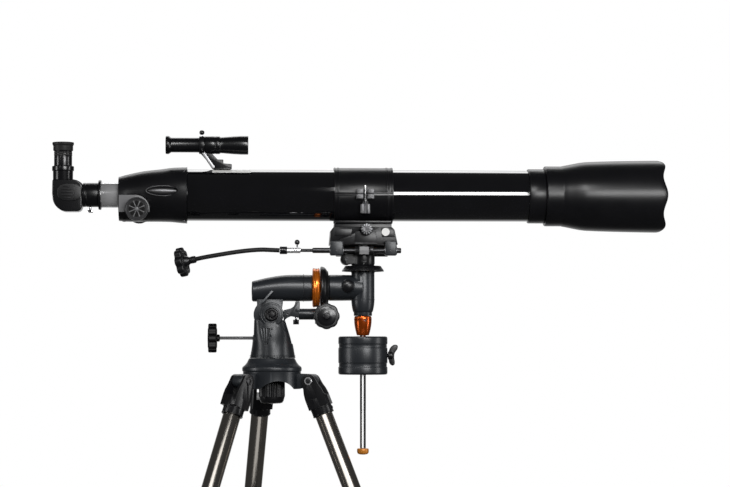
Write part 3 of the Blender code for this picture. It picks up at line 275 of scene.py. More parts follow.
# A lighter grey enamel on casting ribs: painted highlight where their facets catch the light.
RIB_HIGHLIGHT_GREY = finish("painted_highlight_enamel", (0.075, 0.080, 0.086), 0.34, 0.2, grain=1300, relief=0.05)
BRONZE = finish("bronze", (0.30, 0.17, 0.07), 0.32, 1.0, grain=1500, relief=0.06)
WHITE = finish("white_label", (0.80, 0.80, 0.78), 0.45, grain=900, relief=0.01, mottle=0.04)
# Flat black paint inside the dew shield, cell and finder; also painted shade standing for the focus knob's
# petal recesses and the leg clamps' slots.
FLAT_BLACK_AND_SHADE = finish("flat_black_inside_and_painted_shade", (0.003, 0.003, 0.003), 0.70, grain=1500, relief=0.1,
                     gloss=0.2)
LENS_GLASS = glass("coated_lens", (0.75, 0.92, 0.85))


# ---- modelling helpers --------------------------------------------------
def keep(name, mesh, matrix=Matrix(), look=None):
    obj = bpy.data.objects.new(name, mesh)
    bpy.context.scene.collection.objects.link(obj)
    obj.matrix_world = matrix
    if look:
        mesh.materials.clear()
        mesh.materials.append(look)
    return obj


def built(work, name, matrix=Matrix(), look=None):
    """Makes a finished bmesh an object."""
    mesh = bpy.data.meshes.new(name)
    work.to_mesh(mesh)
    work.free()
    return keep(name, mesh, matrix, look)


def facing(at, axis=Z):
    return Matrix.Translation(at) @ axis.to_track_quat("Z", "Y").to_matrix().to_4x4()


def direction(frame, axis):
    return (frame.to_3x3() @ axis).normalized()


def side_view(y=0.0):
    """A frame whose x is X and whose y is the height over the optical axis."""
    return Matrix.Translation((0, SIDE_Y + y, TUBE_Z)) @ UPRIGHT


def evaluated_mesh(obj):
    bpy.context.view_layer.update()
    graph = bpy.context.evaluated_depsgraph_get()
    return bpy.data.meshes.new_from_object(obj.evaluated_get(graph), depsgraph=graph)


def apply_all(obj):
    """Turns the modifiers into plain mesh and welds what they left."""
    mesh = evaluated_mesh(obj)
    work = bmesh.new()
    work.from_mesh(mesh)
    bmesh.ops.remove_doubles(work, verts=work.verts, dist=0.00001)
    work.to_mesh(mesh)
    work.free()
    obj.modifiers.clear()
    obj.data = mesh
    return obj


def eased(profile, radius, ring=False):
    """The profile with each sharp corner replaced by a small arc."""
    points = [Vector((*p, 0)) for p in profile]
    count = len(points)
    out = []
    for i, here in enumerate(points):
        if not ring and i in (0, count - 1):
            out.append(profile[i])
            continue
        before, after = points[i - 1] - here, points[(i + 1) % count] - here
        if before.length < 1e-7 or after.length < 1e-7 or here.x < 1e-6:
            out.append(profile[i])
            continue
        if before.angle(after) > math.radians(160):
            out.append(profile[i])
            continue
        reach = min(radius, before.length * 0.45, after.length * 0.45)
        a = here + before.normalized() * reach
        b = here + after.normalized() * reach
        for t in (0.0, 0.5, 1.0):
            spot = a * (1 - t) ** 2 + here * 2 * t * (1 - t) + b * t ** 2
            out.append((spot.x, spot.y))
    return out


def turned(profile, at, axis=Z, look=None, steps=72, ring=False, ease=0.0005):
    """A lathe shape. The profile is (radius, height) pairs, top to bottom outside."""
    profile = eased(profile, ease, ring) if ease else profile
    mesh = bpy.data.meshes.new("turned")
    edges = [(i, i + 1) for i in range(len(profile) - 1)]
    if ring:
        edges.append((len(profile) - 1, 0))
    mesh.from_pydata([(radius, 0, height) for radius, height in profile], edges, [])
    obj = keep("turned", mesh, facing(Vector(at), axis), look)
    screw = obj.modifiers.new("turn", "SCREW")
    screw.steps = steps
    screw.render_steps = steps
    screw.use_merge_vertices = True
    screw.merge_threshold = 0.00001
    return apply_all(obj)


def cylinder(radius, low, high, at, axis=Z, look=None, steps=48, ease=0.0004):
    profile = [(0, high), (radius, high), (radius, low), (0, low)]
    return turned(profile, at, axis, look, steps, ease=ease)


def sleeve(outer, inner, top, low, at, axis=Z, look=None, steps=96, ease=0.0005):
    """A ring of plain rectangular section."""
    profile = [(outer, top), (outer, low), (inner, low), (inner, top)]
    return turned(profile, at, axis, look, steps, ring=True, ease=ease)


def bead(radius, rise, top, width, inner, at, axis, look, steps, ease=0.0002):
    """A narrow raised band with its crest in the middle."""
    profile = [(radius, top), (radius + rise, top - width / 2), (radius, top - width),
               (inner, top - width), (inner, top)]
    return turned(profile, at, axis, look, steps, ring=True, ease=ease)


def block(low, high, look=None, bevel=0.0006, matrix=Matrix()):
    low, high = Vector(low), Vector(high)
    work = bmesh.new()
    size = Matrix.Diagonal((*(high - low), 1))
    bmesh.ops.create_cube(work, size=1, matrix=Matrix.Translation((low + high) / 2) @ size)
    return soften(built(work, "block", matrix, look), bevel)


def tube_block(low, high, look=None, bevel=0.0006):
    """A block in the tube's frame: x along it, z up from its axis."""
    return block(low, high, look, bevel, Matrix.Translation(from_tube(0)))


def ball(halves, matrix, look):
    """A smooth ellipsoid."""
    work = bmesh.new()
    bmesh.ops.create_uvsphere(work, u_segments=48, v_segments=24, radius=1,
                              matrix=Matrix.Diagonal((*halves, 1)))
    return built(work, "ball", matrix, look)


def soften(obj, width, segments=3, angle=35):
    if width:
        bevel = obj.modifiers.new("edges", "BEVEL")
        bevel.width = width
        bevel.segments = segments
        bevel.limit_method = "ANGLE"
        bevel.angle_limit = math.radians(angle)
        apply_all(obj)
    return obj


def plate(outline, thickness, matrix, look=None, bevel=0.0006):
    """A flat outline in the frame's own x and y, as thick on both sides of z = 0."""
    work = bmesh.new()
    face = work.faces.new([work.verts.new((u, v, -thickness / 2)) for u, v in outline])
    top = bmesh.ops.extrude_face_region(work, geom=[face])
    raised = [v for v in top["geom"] if isinstance(v, bmesh.types.BMVert)]
    bmesh.ops.translate(work, verts=raised, vec=(0, 0, thickness))
    bmesh.ops.recalc_face_normals(work, faces=work.faces)
    return soften(built(work, "plate", matrix, look), bevel)


def loft(sections, matrix, look=None):
    """Skins rings of points, each a (height, [(x, y), ...]) pair, bottom ring first."""
    work = bmesh.new()
    rings = [[work.verts.new((x, y, height)) for x, y in ring] for height, ring in sections]
    count = len(rings[0])
    for lower, upper in zip(rings, rings[1:]):
        for i in range(count):
            j = (i + 1) % count
            work.faces.new((lower[i], lower[j], upper[j], upper[i]))
    work.faces.new(reversed(rings[0]))
    work.faces.new(rings[-1])
    return built(work, "loft", matrix, look)


def smooth_rows(rows, each=4):
    """Rows of numbers with smooth in-between rows added."""
    padded = [rows[0], *rows, rows[-1]]
    out = []
    for i in range(len(rows) - 1):
        for step in range(each):
            out.append(tuple(spline_point(*four, step / each) for four in zip(*padded[i:i + 4])))
    return out + [rows[-1]]


def oval(half_x, half_y, squareness=2.0, center=(0.0, 0.0), count=72):
    """A superellipse: 2 is an ellipse, and larger values are squarer."""
    points = []
    for i in range(count):
        angle = 2 * math.pi * i / count
        c, s = math.cos(angle), math.sin(angle)
        x = math.copysign(abs(c) ** (2 / squareness), c) * half_x
        y = math.copysign(abs(s) ** (2 / squareness), s) * half_y
        points.append((center[0] + x, center[1] + y))
    return points


def scalloped(radius, depth, lobes, per_lobe=12, sharp=2):
    points = []
    for i in range(lobes * per_lobe):
        angle = 2 * math.pi * i / (lobes * per_lobe)
        here = radius - depth * (0.5 - 0.5 * math.cos(lobes * angle)) ** sharp
        points.append((here * math.cos(angle), here * math.sin(angle)))
    return points


def knurled(radius, low, high, at, axis, look, teeth=48, depth=0.0004):
    """A ring of fine straight teeth round a knob or nut."""
    outline = []
    for i in range(teeth * 2):
        angle = math.pi * i / teeth
        here = radius - (depth if i % 2 else 0)
        outline.append((here * math.cos(angle), here * math.sin(angle)))
    shrink = [(x * 0.97, y * 0.97) for x, y in outline]
    rows = [(low, shrink), (low + depth, outline), (high - depth, outline), (high, shrink)]
    return loft(rows, facing(Vector(at), axis), look)


def arc(center, radius, start, end, count=12):
    angles = [math.radians(start + (end - start) * i / count) for i in range(count + 1)]
    return [(center[0] + radius * math.cos(a), center[1] + radius * math.sin(a)) for a in angles]


def tube_along(points, radius, look, sides=10, closed=False):
    """A round wire along points, with flat ends."""
    curve = bpy.data.curves.new("wire", "CURVE")
    curve.dimensions = "3D"
    curve.bevel_depth = radius
    curve.bevel_resolution = sides // 2 - 1
    curve.use_fill_caps = True
    spline = curve.splines.new("POLY")
    spline.points.add(len(points) - 1)
    for point, spot in zip(spline.points, points):
        point.co = (*spot, 1)
    spline.use_cyclic_u = closed
    guide = bpy.data.objects.new("wire", curve)
    bpy.context.scene.collection.objects.link(guide)
    mesh = evaluated_mesh(guide)
    bpy.data.objects.remove(guide)
    return apply_all(keep("wire", mesh, Matrix(), look))


def combine(obj, other, operation):
    step = obj.modifiers.new(operation.lower(), "BOOLEAN")
    step.operation = operation
    step.solver = "EXACT"
    step.object = other
    apply_all(obj)
    bpy.data.objects.remove(other)


def cut(obj, *tools):
    """Cuts exact holes. Lathe tools are twisted a little so that facets never line up."""
    for number, tool in enumerate(tools):
        twist = Matrix.Rotation(math.radians(1.3 + number * 0.7), 4, "Z")
        if tool.name.startswith("turned"):
            tool.matrix_world = tool.matrix_world @ twist
        combine(obj, tool, "DIFFERENCE")
    return obj


def fuse(obj, *others):
    for other in others:
        combine(obj, other, "UNION")
    return obj


def moved(frame, *shapes):
    """Places shapes that were made in a frame's own axes."""
    for shape in shapes:
        shape.matrix_world = frame @ shape.matrix_world
    return shapes


def piece(node, *shapes, place=Matrix(), sharp=32):
    """Gathers shapes into the one visible piece that stands for a CAD node."""
    looks, work = [], bmesh.new()
    for shape in shapes:
        mesh = shape.data
        mesh.transform(place.inverted() @ shape.matrix_world)
        first = len(work.faces)
        work.from_mesh(mesh)
        work.faces.ensure_lookup_table()
        look = mesh.materials[0]
        if look not in looks:
            looks.append(look)
        for face in work.faces[first:]:
            face.material_index = looks.index(look)
            face.smooth = True
        bpy.data.objects.remove(shape)
    bmesh.ops.recalc_face_normals(work, faces=work.faces)
    mesh = bpy.data.meshes.new(node + "_detail")
    work.to_mesh(mesh)
    work.free()
    for look in looks:
        mesh.materials.append(look)
    mesh.set_sharp_from_angle(angle=math.radians(sharp))
    obj = bpy.data.objects.new(node + "_detail", mesh)
    bpy.context.scene.collection.objects.link(obj)
    obj.matrix_world = place
    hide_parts(node)
    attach(obj, BODY_OF[node])
    return obj


def socket_screw(at, axis, radius, height, look=DARK_STEEL, inner=0.55):
    """A cap screw head with its round recess."""
    profile = [(0, height * 0.35), (radius * inner, height * 0.35), (radius * inner, height),
               (radius, height), (radius, 0), (0, 0)]
    return turned(profile, at, axis, look, 32, ease=height * 0.12)


# ---- optical tube -------------------------------------------------------
def tube_label():
    """A blank white sticker wrapped on the tube's shoulder, behind the finder."""
    radius, start, end = TUBE_R + 0.00015, math.radians(58), math.radians(76)
    low_x, high_x, steps = -0.2655, -0.1965, 10
    work = bmesh.new()
    rows = []
    for i in range(steps + 1):
        angle = start + (end - start) * i / steps
        ring = []
        for lift in (0, 0.00012):
            r = radius + lift
            ring.append((-r * math.cos(angle), r * math.sin(angle)))
        rows.append([work.verts.new((x, y, z)) for y, z in ring for x in (low_x, high_x)])
    for a, b in zip(rows, rows[1:]):
        for i, j in ((2, 3), (3, 1), (1, 0), (0, 2)):
            work.faces.new((a[i], a[j], b[j], b[i]))
    work.faces.new(rows[0][k] for k in (0, 1, 3, 2))
    work.faces.new(rows[-1][k] for k in (2, 3, 1, 0))
    return built(work, "label", Matrix.Translation(from_tube(0)), WHITE)


def scallop_rim(shape, front):
    """Six shallow scallops in the front rim, one crest facing the side of the knobs."""
    for vertex in shape.data.vertices:
        spot = shape.matrix_world @ vertex.co
        near = min(max((spot.x - front + 0.0260) / 0.0160, 0), 1)
        angle = math.atan2(spot.z - TUBE_Z, SIDE_Y - spot.y)
        spot.x -= near * near * (3 - 2 * near) * (0.0022 + 0.0033 * (1 - math.cos(6 * angle)))
        vertex.co = shape.matrix_world.inverted() @ spot


def optical_tube():
    at = from_tube(0)
    inner = TUBE_R - 0.0015
    shell = sleeve(TUBE_R, inner, TUBE_FRONT_X, TUBE_BACK_X, at, X, LACQUER, 160, 0.0003)
    piece("main_tube", shell, tube_label())
    cell_r, seat, lens_r = 0.0492, TUBE_FRONT_X + GAP, 0.0438
    cell = turned([
        (lens_r, 0.3550), (0.0470, 0.3550), (0.0470, 0.3344), (0.0486, 0.3342), (cell_r, 0.3325),
        (cell_r, 0.3060), (0.0486, seat), (0.0418, seat), (0.0418, 0.3120), (lens_r, 0.3120)],
        at, X, SATIN, 160, ring=True)
    holder = turned([(lens_r - 0.0001, 0.3300), (lens_r - 0.0001, 0.3250), (0.0415, 0.3262),
                     (0.0412, 0.3290)], at, X, FLAT_BLACK_AND_SHADE, 128, ring=True)
    piece("objective_cell", cell, holder)
    bulge = [(0.0413 * math.sin(math.radians(a)), 0.3130 + 0.0128 * math.cos(math.radians(a)))
             for a in range(0, 91, 6)]
    piece("objective_lens", turned(bulge + [(0.0413, 0.3122), (0, 0.3118)], at, X, LENS_GLASS, 128,
                                   ease=0))
    front = SHIELD_FRONT_X
    flare = [(0.0653, front - 0.0110), (0.0652, 0.5200), (0.0647, 0.4900), (0.0641, 0.4600),
             (0.0634, 0.4350), (0.0622, 0.4080), (0.0609, 0.3975), (0.0586, 0.3860),
             (0.0562, 0.3740), (0.0549, 0.3668), (0.0544, 0.3650)]
    inside = [(0.0512, 0.3600), (0.0545, 0.3800), (0.0595, 0.4300), (0.0615, front - 0.0200)]
    shield = turned([
        (0.0618, front - 0.0060), (0.0622, front - 0.0012), (0.0630, front), (0.0645, front - 0.0010),
        (0.0653, front - 0.0050), *flare, (0.0543, 0.3635), (0.0543, 0.3362), (0.0536, 0.3346),
        (0.0474, 0.3344), (0.0474, 0.3560), *inside], at, X, SATIN, 160, ring=True, ease=0.0004)
    baffles = [sleeve(r, r - 0.0012, x, x - 0.0010, at, X, FLAT_BLACK_AND_SHADE, ease=0)
               for r, x in ((0.0611, 0.5100), (0.0604, 0.4700), (0.0590, 0.4300))]
    lining = turned([(r - 0.0002, x) for r, x in reversed(inside)] +
                    [(0.0474 + 0.0030, 0.3600), (0.0510, 0.3595)] +
                    [(r + 0.0001, x) for r, x in inside[1:]], at, X, FLAT_BLACK_AND_SHADE, 96,
                    ring=True, ease=0)
    scallop_rim(shield, front)
    scallop_rim(lining, front)
    piece("dew_shield", shield, lining, *baffles)


def focuser_housing():
    """The tapering fairing, its recess and its grey inset panel round the focus knob."""
    shape = smooth_rows([
        (-0.4330, 0.0325, -0.0465, 0.0350), (-0.4172, 0.0369, -0.0479, 0.0400),
        (-0.3884, 0.0430, -0.0479, 0.0440), (-0.3596, 0.0463, -0.0479, 0.0468),
        (-0.3400, 0.0490, -0.0484, 0.0490), (-0.3250, 0.0499, -0.0498, 0.0503),
        (TUBE_BACK_X - GAP, 0.0502, -0.0509, 0.0506)], 5)
    rings = [(x, oval((top - low) / 2, side, 2.1, (-(top + low) / 2, 0), 96))
             for x, top, low, side in shape]
    along = Matrix.Translation((0, SIDE_Y, TUBE_Z)) @ Matrix.Rotation(math.pi / 2, 4, "Y")
    body = loft(rings, along, SATIN)
    bore = cylinder(DRAWTUBE_R + 0.0005, -0.5, -0.2, from_tube(0), X, steps=72)
    recess = cylinder(0.0425, -0.3330, -0.2, from_tube(0), X, steps=72)
    inset = plate([(-0.4400, -0.0005), (-0.4010, -0.0005), *arc((-0.4010, -0.0270), 0.0265, 90, 0),
                   (-0.3745, -0.0340), (-0.4400, -0.0340)], 0.0160,
                  side_view(-0.0480), bevel=0)
    cut(body, bore, recess, inset)
    recess_at = (side_view(-0.0490) @ Matrix.Translation((-0.3520, 0.0050, 0))
                 @ Matrix.Rotation(math.radians(6), 4, "Y"))
    cut(body, ball((0.0315, 0.0090, 0.0060), recess_at, SATIN))
    soften(body, 0.0006, 2, 50)
    # The lighter grey pearl and lip in the recess are painted highlight: the light caught in its middle and
    # round its rim.
    recess_highlight = ball((0.0265, 0.0052, 0.0040), recess_at @ Matrix.Translation((0, 0, -0.0042)), GREY_STEEL_AND_HIGHLIGHT)
    lip = tube_along([recess_at @ Vector((u, v, -0.0010)) for u, v in oval(0.0310, 0.0088, count=96)],
                     0.0008, GREY_STEEL_AND_HIGHLIGHT, 8, closed=True)
    crest = tube_along([from_tube(x, -top + 0.0090, -0.5 * side) for x, top, low, side in shape[8:-6]],
                       0.0012, SATIN, 10)
    ledge = plate([(-0.4318, -0.0020), (-0.4020, -0.0020), *arc((-0.4020, -0.0270), 0.0250, 90, 0),
                   (-0.3770, -0.0325), (-0.4318, -0.0325)], 0.0030, side_view(-0.0395), GREY_PLASTIC_AND_HIGHLIGHT)
    groove = sleeve(0.0509, 0.0465, TUBE_BACK_X - 0.0012, TUBE_BACK_X - GAP, from_tube(0), X, SATIN,
                    128, 0)
    screws = [socket_screw(from_tube(-0.3160, -0.0506 * math.cos(a), -0.0506 * math.sin(a)),
                           Vector((0, -math.sin(a), math.cos(a))), 0.0021, 0.0010, CHROME, 0.4)
              for a in (math.radians(36), math.radians(156), math.radians(276))]
    foot_screws = [socket_screw(from_tube(x, 0.0474, -0.016), -Z, 0.0030, 0.0014)
                   for x in (-0.4230, -0.3860)]
    rear = sleeve(0.0330, 0.0240, -0.4331, -0.4336, from_tube(0), X, SATIN, 72, 0)
    piece("focuser_housing", body, ledge, groove, rear, recess_highlight, lip, crest, *screws, *foot_screws)


def focus_pinion():
    """The pinion with both focus knobs. Each face has a flower of flat black petals, painted shade standing
    for recesses, with grey spokes between them as painted highlight on the ridges.
    """
    at = from_tube(-0.3992, 0.0277)
    shapes = [cylinder(0.0029, -0.0450, 0.0450, at, Y, CHROME, 24)]
    shapes.append(knurled(0.0044, -0.0080, 0.0080, at, Y, BRONZE, 14, 0.0009))
    inner, outer, radius = 0.0440, 0.0575, 0.0212
    for side in (-1, 1):
        out = Y * side
        knob = turned([
            (0, outer - 0.0040), (0.0165, outer - 0.0040), (0.0180, outer - 0.0012),
            (0.0192, outer), (0.0202, outer - 0.0010), (0.0206, inner + 0.0010), (0.0198, inner),
            (0.0060, inner), (0, inner)], at, out, DARK_GREY, 96)
        grip = knurled(radius, inner + 0.0015, outer - 0.0030, at, out, PLASTIC, 64, 0.0007)
        # Black petal plates are painted shade of the recesses; grey spokes are painted highlight on the
        # ridges.
        recess_shade_and_ridge_highlights = []
        for k in range(8):
            turn = facing(at + out * (outer - 0.0036), out) @ Matrix.Rotation(math.pi / 4 * k, 4, "Z")
            outline = [(0.0045, 0), *arc((0.0112, 0), 0.0034, -100, 100, 10)]
            recess_shade_and_ridge_highlights.append(plate(outline, 0.0016, turn, FLAT_BLACK_AND_SHADE, 0.0003))
            half_turn = turn @ Matrix.Rotation(math.pi / 8, 4, "Z")
            ridge_highlight = plate([(0.0035, -0.0004), (0.0150, -0.0009), (0.0150, 0.0009), (0.0035, 0.0004)],
                          0.0030, half_turn, GREY_PLASTIC_AND_HIGHLIGHT, 0.0003)
            recess_shade_and_ridge_highlights.append(ridge_highlight)
        cap = turned([(0, outer - 0.0016), (0.0030, outer - 0.0018), (0.0042, outer - 0.0040),
                      (0, outer - 0.0042)], at, out, GREY_PLASTIC_AND_HIGHLIGHT, 32)
        shapes += [knob, grip, cap, *recess_shade_and_ridge_highlights]
    piece("focus_pinion", *shapes)


def drawtube():
    wall, flange_r, adapter_r, nose = 0.0018, 0.0266, 0.0217, BARREL_R + GAP
    shell = sleeve(DRAWTUBE_R, DRAWTUBE_R - wall, -0.3450, -0.4655, from_tube(0), X, BRIGHT, 128)
    flange = sleeve(flange_r, nose, -0.4650, -0.4697, from_tube(0), X, SATIN, 128, 0.0008)
    adapter = turned([
        (adapter_r, -0.4695), (adapter_r, -0.4905), (adapter_r - 0.0006, -0.4912),
        (adapter_r - 0.0006, -0.4925), (adapter_r, -0.4932), (adapter_r, -0.4975), (nose, -0.4975),
        (nose, -0.4695)], from_tube(0), X, SATIN, 128, ring=True)
    stem = cylinder(0.0020, 0.0205, 0.0270, from_tube(-0.4847), -Z, CHROME, 20)
    thumb = knurled(0.0046, 0.0265, 0.0320, from_tube(-0.4847), -Z, CHROME, 20, 0.0005)
    flange_screws = [socket_screw(from_tube(-0.4652, -0.0248 * math.cos(a), -0.0248 * math.sin(a)), X,
                                  0.0013, 0.0009, CHROME) for a in (0.9, 2.2, 3.9, 5.2)]
    piece("drawtube", shell, flange, adapter, stem, thumb, *flange_screws)


def star_diagonal():
    """The mirror elbow: rounded body, side covers with ribs, and the eyepiece socket."""
    half = 0.0180
    outline = [(-0.4982, 0.0196), (-0.5020, 0.0226), (-0.5080, 0.0258), (-0.5145, 0.0272),
               (-0.5516, 0.0266), (-0.5519, 0.0020)]
    outline += arc((-0.5245, -0.0040), 0.0266, 180, 262, 16)
    outline += [(-0.5060, -0.0302), (-0.5020, -0.0290), (-0.4990, -0.0252), (-0.4982, -0.0216)]
    body = plate(outline, 2 * half, side_view(), SMOOTH_PLASTIC, 0)
    soften(body, 0.0085, 7, 25)
    up = from_tube(EYEPIECE_X)
    seat = BARREL_R + GAP
    socket = turned([
        (seat, 0.0516), (0.0190, 0.0516), (0.0196, 0.0508), (0.0196, 0.0438), (0.0190, 0.0430),
        (0.0180, 0.0426), (0.0178, 0.0180), (seat, 0.0180)], up, Z, SMOOTH_PLASTIC, 96, ring=True)
    groove = sleeve(0.0195, 0.0190, 0.0482, 0.0474, up, Z, RUBBER, ease=0.0001)
    nose = sleeve(BARREL_R, 0.0138, -0.4700, -0.4985, from_tube(0), X, CHROME)
    cover_frame = Matrix.Translation((-0.5208, 0.0038, 0))
    shapes = [body, socket, groove, nose]
    for side in (-1, 1):
        front = side_view(side * half) @ cover_frame
        pad = plate(oval(0.0215, 0.0158, 2.7, count=64), 0.0028, front, PLASTIC, 0.0010)
        shapes.append(pad)
        seam = plate([(0.0078, -0.0148), (0.0086, -0.0148), (0.0086, 0.0148), (0.0078, 0.0148)],
                     0.0034, front, SMOOTH_PLASTIC, 0.0002)
        shapes.append(seam)
        for height, reach in ((0.0102, 0.0075), (0.0052, 0.0105), (0.0002, 0.0112),
                              (-0.0048, 0.0105), (-0.0098, 0.0070)):
            rib = oval(reach, 0.0012, 2.6, (-0.0048, height), 28)
            shapes.append(plate(rib, 0.0044, front, PLASTIC, 0.0005))
    piece("star_diagonal", *shapes)


def eyepiece():
    up = from_tube(EYEPIECE_X)
    body = turned([
        (0.0150, 0.0800), (0.0172, 0.0800), (0.0161, 0.0785), (0.0161, 0.0780), (0.0157, 0.0774),
        (0.0157, 0.0700), (0.0161, 0.0694), (0.0161, 0.0524), (0.0156, 0.0516), (0.0140, 0.0516),
        (0.0140, 0.0800)], up, Z, SMOOTH_PLASTIC, 96, ring=True)
    grip = [knurled(0.0163, low, low + 0.0030, up, Z, RUBBER, 60, 0.0003) for low in (0.0704, 0.0740)]
    barrel = sleeve(BARREL_R, 0.0140, 0.0518, 0.0230, up, Z, CHROME)
    cup = turned([
        (0.0104, 0.0935), (0.0150, 0.0940), (0.0185, 0.0947), (0.0194, 0.0938), (0.0193, 0.0914),
        (0.0186, 0.0896), (0.0177, 0.0880), (0.0176, 0.0796), (0.0168, 0.0790), (0.0104, 0.0790)],
        up, Z, RUBBER, 96, ring=True)
    bands = [sleeve(0.0179, 0.0170, z + 0.0008, z, up, Z, RUBBER, ease=0.0002)
             for z in (0.0812, 0.0832, 0.0852)]
    lens = turned([(0, 0.0890), (0.0050, 0.0886), (0.0104, 0.0872), (0.0104, 0.0800), (0, 0.0800)],
                  up, Z, LENS_GLASS, 48)
    field = turned([(0, 0.0520), (0.0141, 0.0520), (0.0141, 0.0500), (0, 0.0490)], up, Z,
                   LENS_GLASS, 48)
    piece("eyepiece", body, barrel, cup, lens, field, *grip, *bands)


def finder():
    at = from_tube(0, -0.0906)
    scope = turned([
        (0.0146, -0.2040), (0.0150, -0.2016), (0.0160, -0.2012), (0.0168, -0.2020),
        (0.0168, -0.2140), (0.0161, -0.2280), (0.0148, -0.2440), (0.0143, -0.2515),
        (0.0160, -0.2530), (0.0160, -0.2600), (0.0155, -0.2606), (0.0155, -0.2616),
        (0.0160, -0.2622), (0.0160, -0.2790), (0.0134, -0.2803), (0.0132, -0.2980),
        (0.0132, -0.3400), (0.0150, -0.3425), (0.0164, -0.3444), (0.0164, -0.3485),
        (0.0158, -0.3500), (0.0120, -0.3500), (0.0118, -0.3440), (0.0118, -0.2100),
        (0.0140, -0.2060)], at, X, SMOOTH_PLASTIC, 96, ring=True, ease=0.0006)
    front = turned([(0, -0.2052), (0.0080, -0.2056), (0.0141, -0.2072), (0.0141, -0.2110),
                    (0, -0.2110)], at, X, LENS_GLASS, 64)
    eye = turned([(0, -0.3440), (0.0119, -0.3440), (0.0119, -0.3474), (0, -0.3482)], at, X,
                 LENS_GLASS, 64)
    cross = [block((-0.2200, -0.0118, -0.0001), (-0.2198, 0.0118, 0.0001), FLAT_BLACK_AND_SHADE, 0,
                   Matrix.Translation(at) @ Matrix.Rotation(turn, 4, "X")) for turn in (0, math.pi / 2)]
    piece("finder_scope", scope, front, eye, *cross)

    ring = sleeve(0.0160, 0.0135, -0.2800, -0.2898, at, X, SATIN)
    arm = plate([(-0.2880, 0.0750), (-0.2800, 0.0760), (-0.2700, 0.0750), (-0.2655, 0.0738),
                 (-0.2564, 0.0644), (-0.2462, 0.0644), (-0.2462, 0.0575), (-0.2310, 0.0562),
                 (-0.2310, 0.0476), (-0.2632, 0.0476), (-0.2856, 0.0738)], 0.0130,
                side_view(), SATIN, 0.0008)
    strip_mid = Vector((-0.2746, 0.0620, 0))
    slant = Matrix.Rotation(math.radians(-55.6), 4, "Z")
    strip = block((-0.0170, -0.0011, -0.0072), (0.0170, 0.0046, 0.0072), SATIN_ALUMINIUM_AND_HIGHLIGHT, 0.0004,
                  side_view() @ Matrix.Translation(strip_mid) @ slant)
    hole = cylinder(0.0020, -0.003, 0.003, side_view() @ (strip_mid + Vector((0.0028, -0.0042, 0))),
                    Vector((-0.825, 0, -0.565)), steps=24)
    cut(strip, hole)
    foot = tube_block((-0.2640, -0.0150, 0.0455), (-0.2330, 0.0150, 0.0484), SATIN)
    shapes = [ring, arm, strip, foot]
    for k in range(3):
        angle = math.radians(120 * k)
        out = Vector((0, math.sin(angle), math.cos(angle)))
        spot = at - X * 0.2849
        shapes.append(cylinder(0.0014, 0.0133, 0.0200, spot, out, CHROME, 16))
        if k == 0:
            shapes.append(turned([(0, 0.0270), (0.0024, 0.0266), (0.0042, 0.0250), (0.0046, 0.0225),
                                  (0.0040, 0.0200), (0.0022, 0.0188), (0, 0.0186)], spot, out,
                                 SMOOTH_PLASTIC, 40))
    shapes += [socket_screw(from_tube(x, -0.0484, 0.0105), Z, 0.0024, 0.0016)
               for x in (-0.2590, -0.2380)]
    piece("finder_bracket", *shapes)


# ---- tube rings ---------------------------------------------------------
RING_BACK_X, RING_FRONT_X = -0.0472, 0.0586
HINGE_Y = 0.0560


def half_shell(side):
    """Half of the wide clamp, swept round the tube: side 1 is the upper half."""
    inner, outer, band = TUBE_R + 0.0004, 0.0500, 0.0508
    profile = eased([
        (inner, RING_FRONT_X), (band, RING_FRONT_X), (band, RING_FRONT_X - 0.0030),
        (outer, RING_FRONT_X - 0.0034), (outer, RING_FRONT_X - 0.0086), (band, RING_FRONT_X - 0.0090),
        (band, RING_FRONT_X - 0.0120), (outer, RING_FRONT_X - 0.0125), (outer, RING_BACK_X + 0.0095),
        (band, RING_BACK_X + 0.0090), (band, RING_BACK_X + 0.0062), (outer, RING_BACK_X + 0.0058),
        (outer, RING_BACK_X + 0.0034), (band, RING_BACK_X + 0.0030), (band, RING_BACK_X),
        (inner, RING_BACK_X)], 0.0003, ring=True)
    trim = math.asin(0.0004 / outer)
    count = 80
    work = bmesh.new()
    rows = []
    for i in range(count + 1):
        angle = trim + (math.pi - 2 * trim) * i / count
        c, s = math.cos(angle), math.sin(angle) * side
        rows.append([work.verts.new((x, -r * c, r * s)) for r, x in profile])
    size = len(profile)
    for a, b in zip(rows, rows[1:]):
        for i in range(size):
            j = (i + 1) % size
            work.faces.new((a[i], a[j], b[j], b[i]))
    work.faces.new(rows[0])
    work.faces.new(reversed(rows[-1]))
    return built(work, "half", Matrix.Translation(from_tube(0)), SATIN)


def ribbed_pad(left, right, side):
    """A clamp pad with fine horizontal ribs on its face."""
    low, high = sorted((side * 0.0004, side * 0.0090))
    pad = [tube_block((left, -0.0612, low), (right, -0.0480, high), GREY_STEEL_AND_HIGHLIGHT, 0.0007)]
    for k in range(5):
        z = low + 0.0011 + k * 0.0016
        pad.append(tube_block((left + 0.0006, -0.0619, z), (right - 0.0006, -0.0608, z + 0.0009),
                              GREY_STEEL_AND_HIGHLIGHT, 0.0003))
    return pad


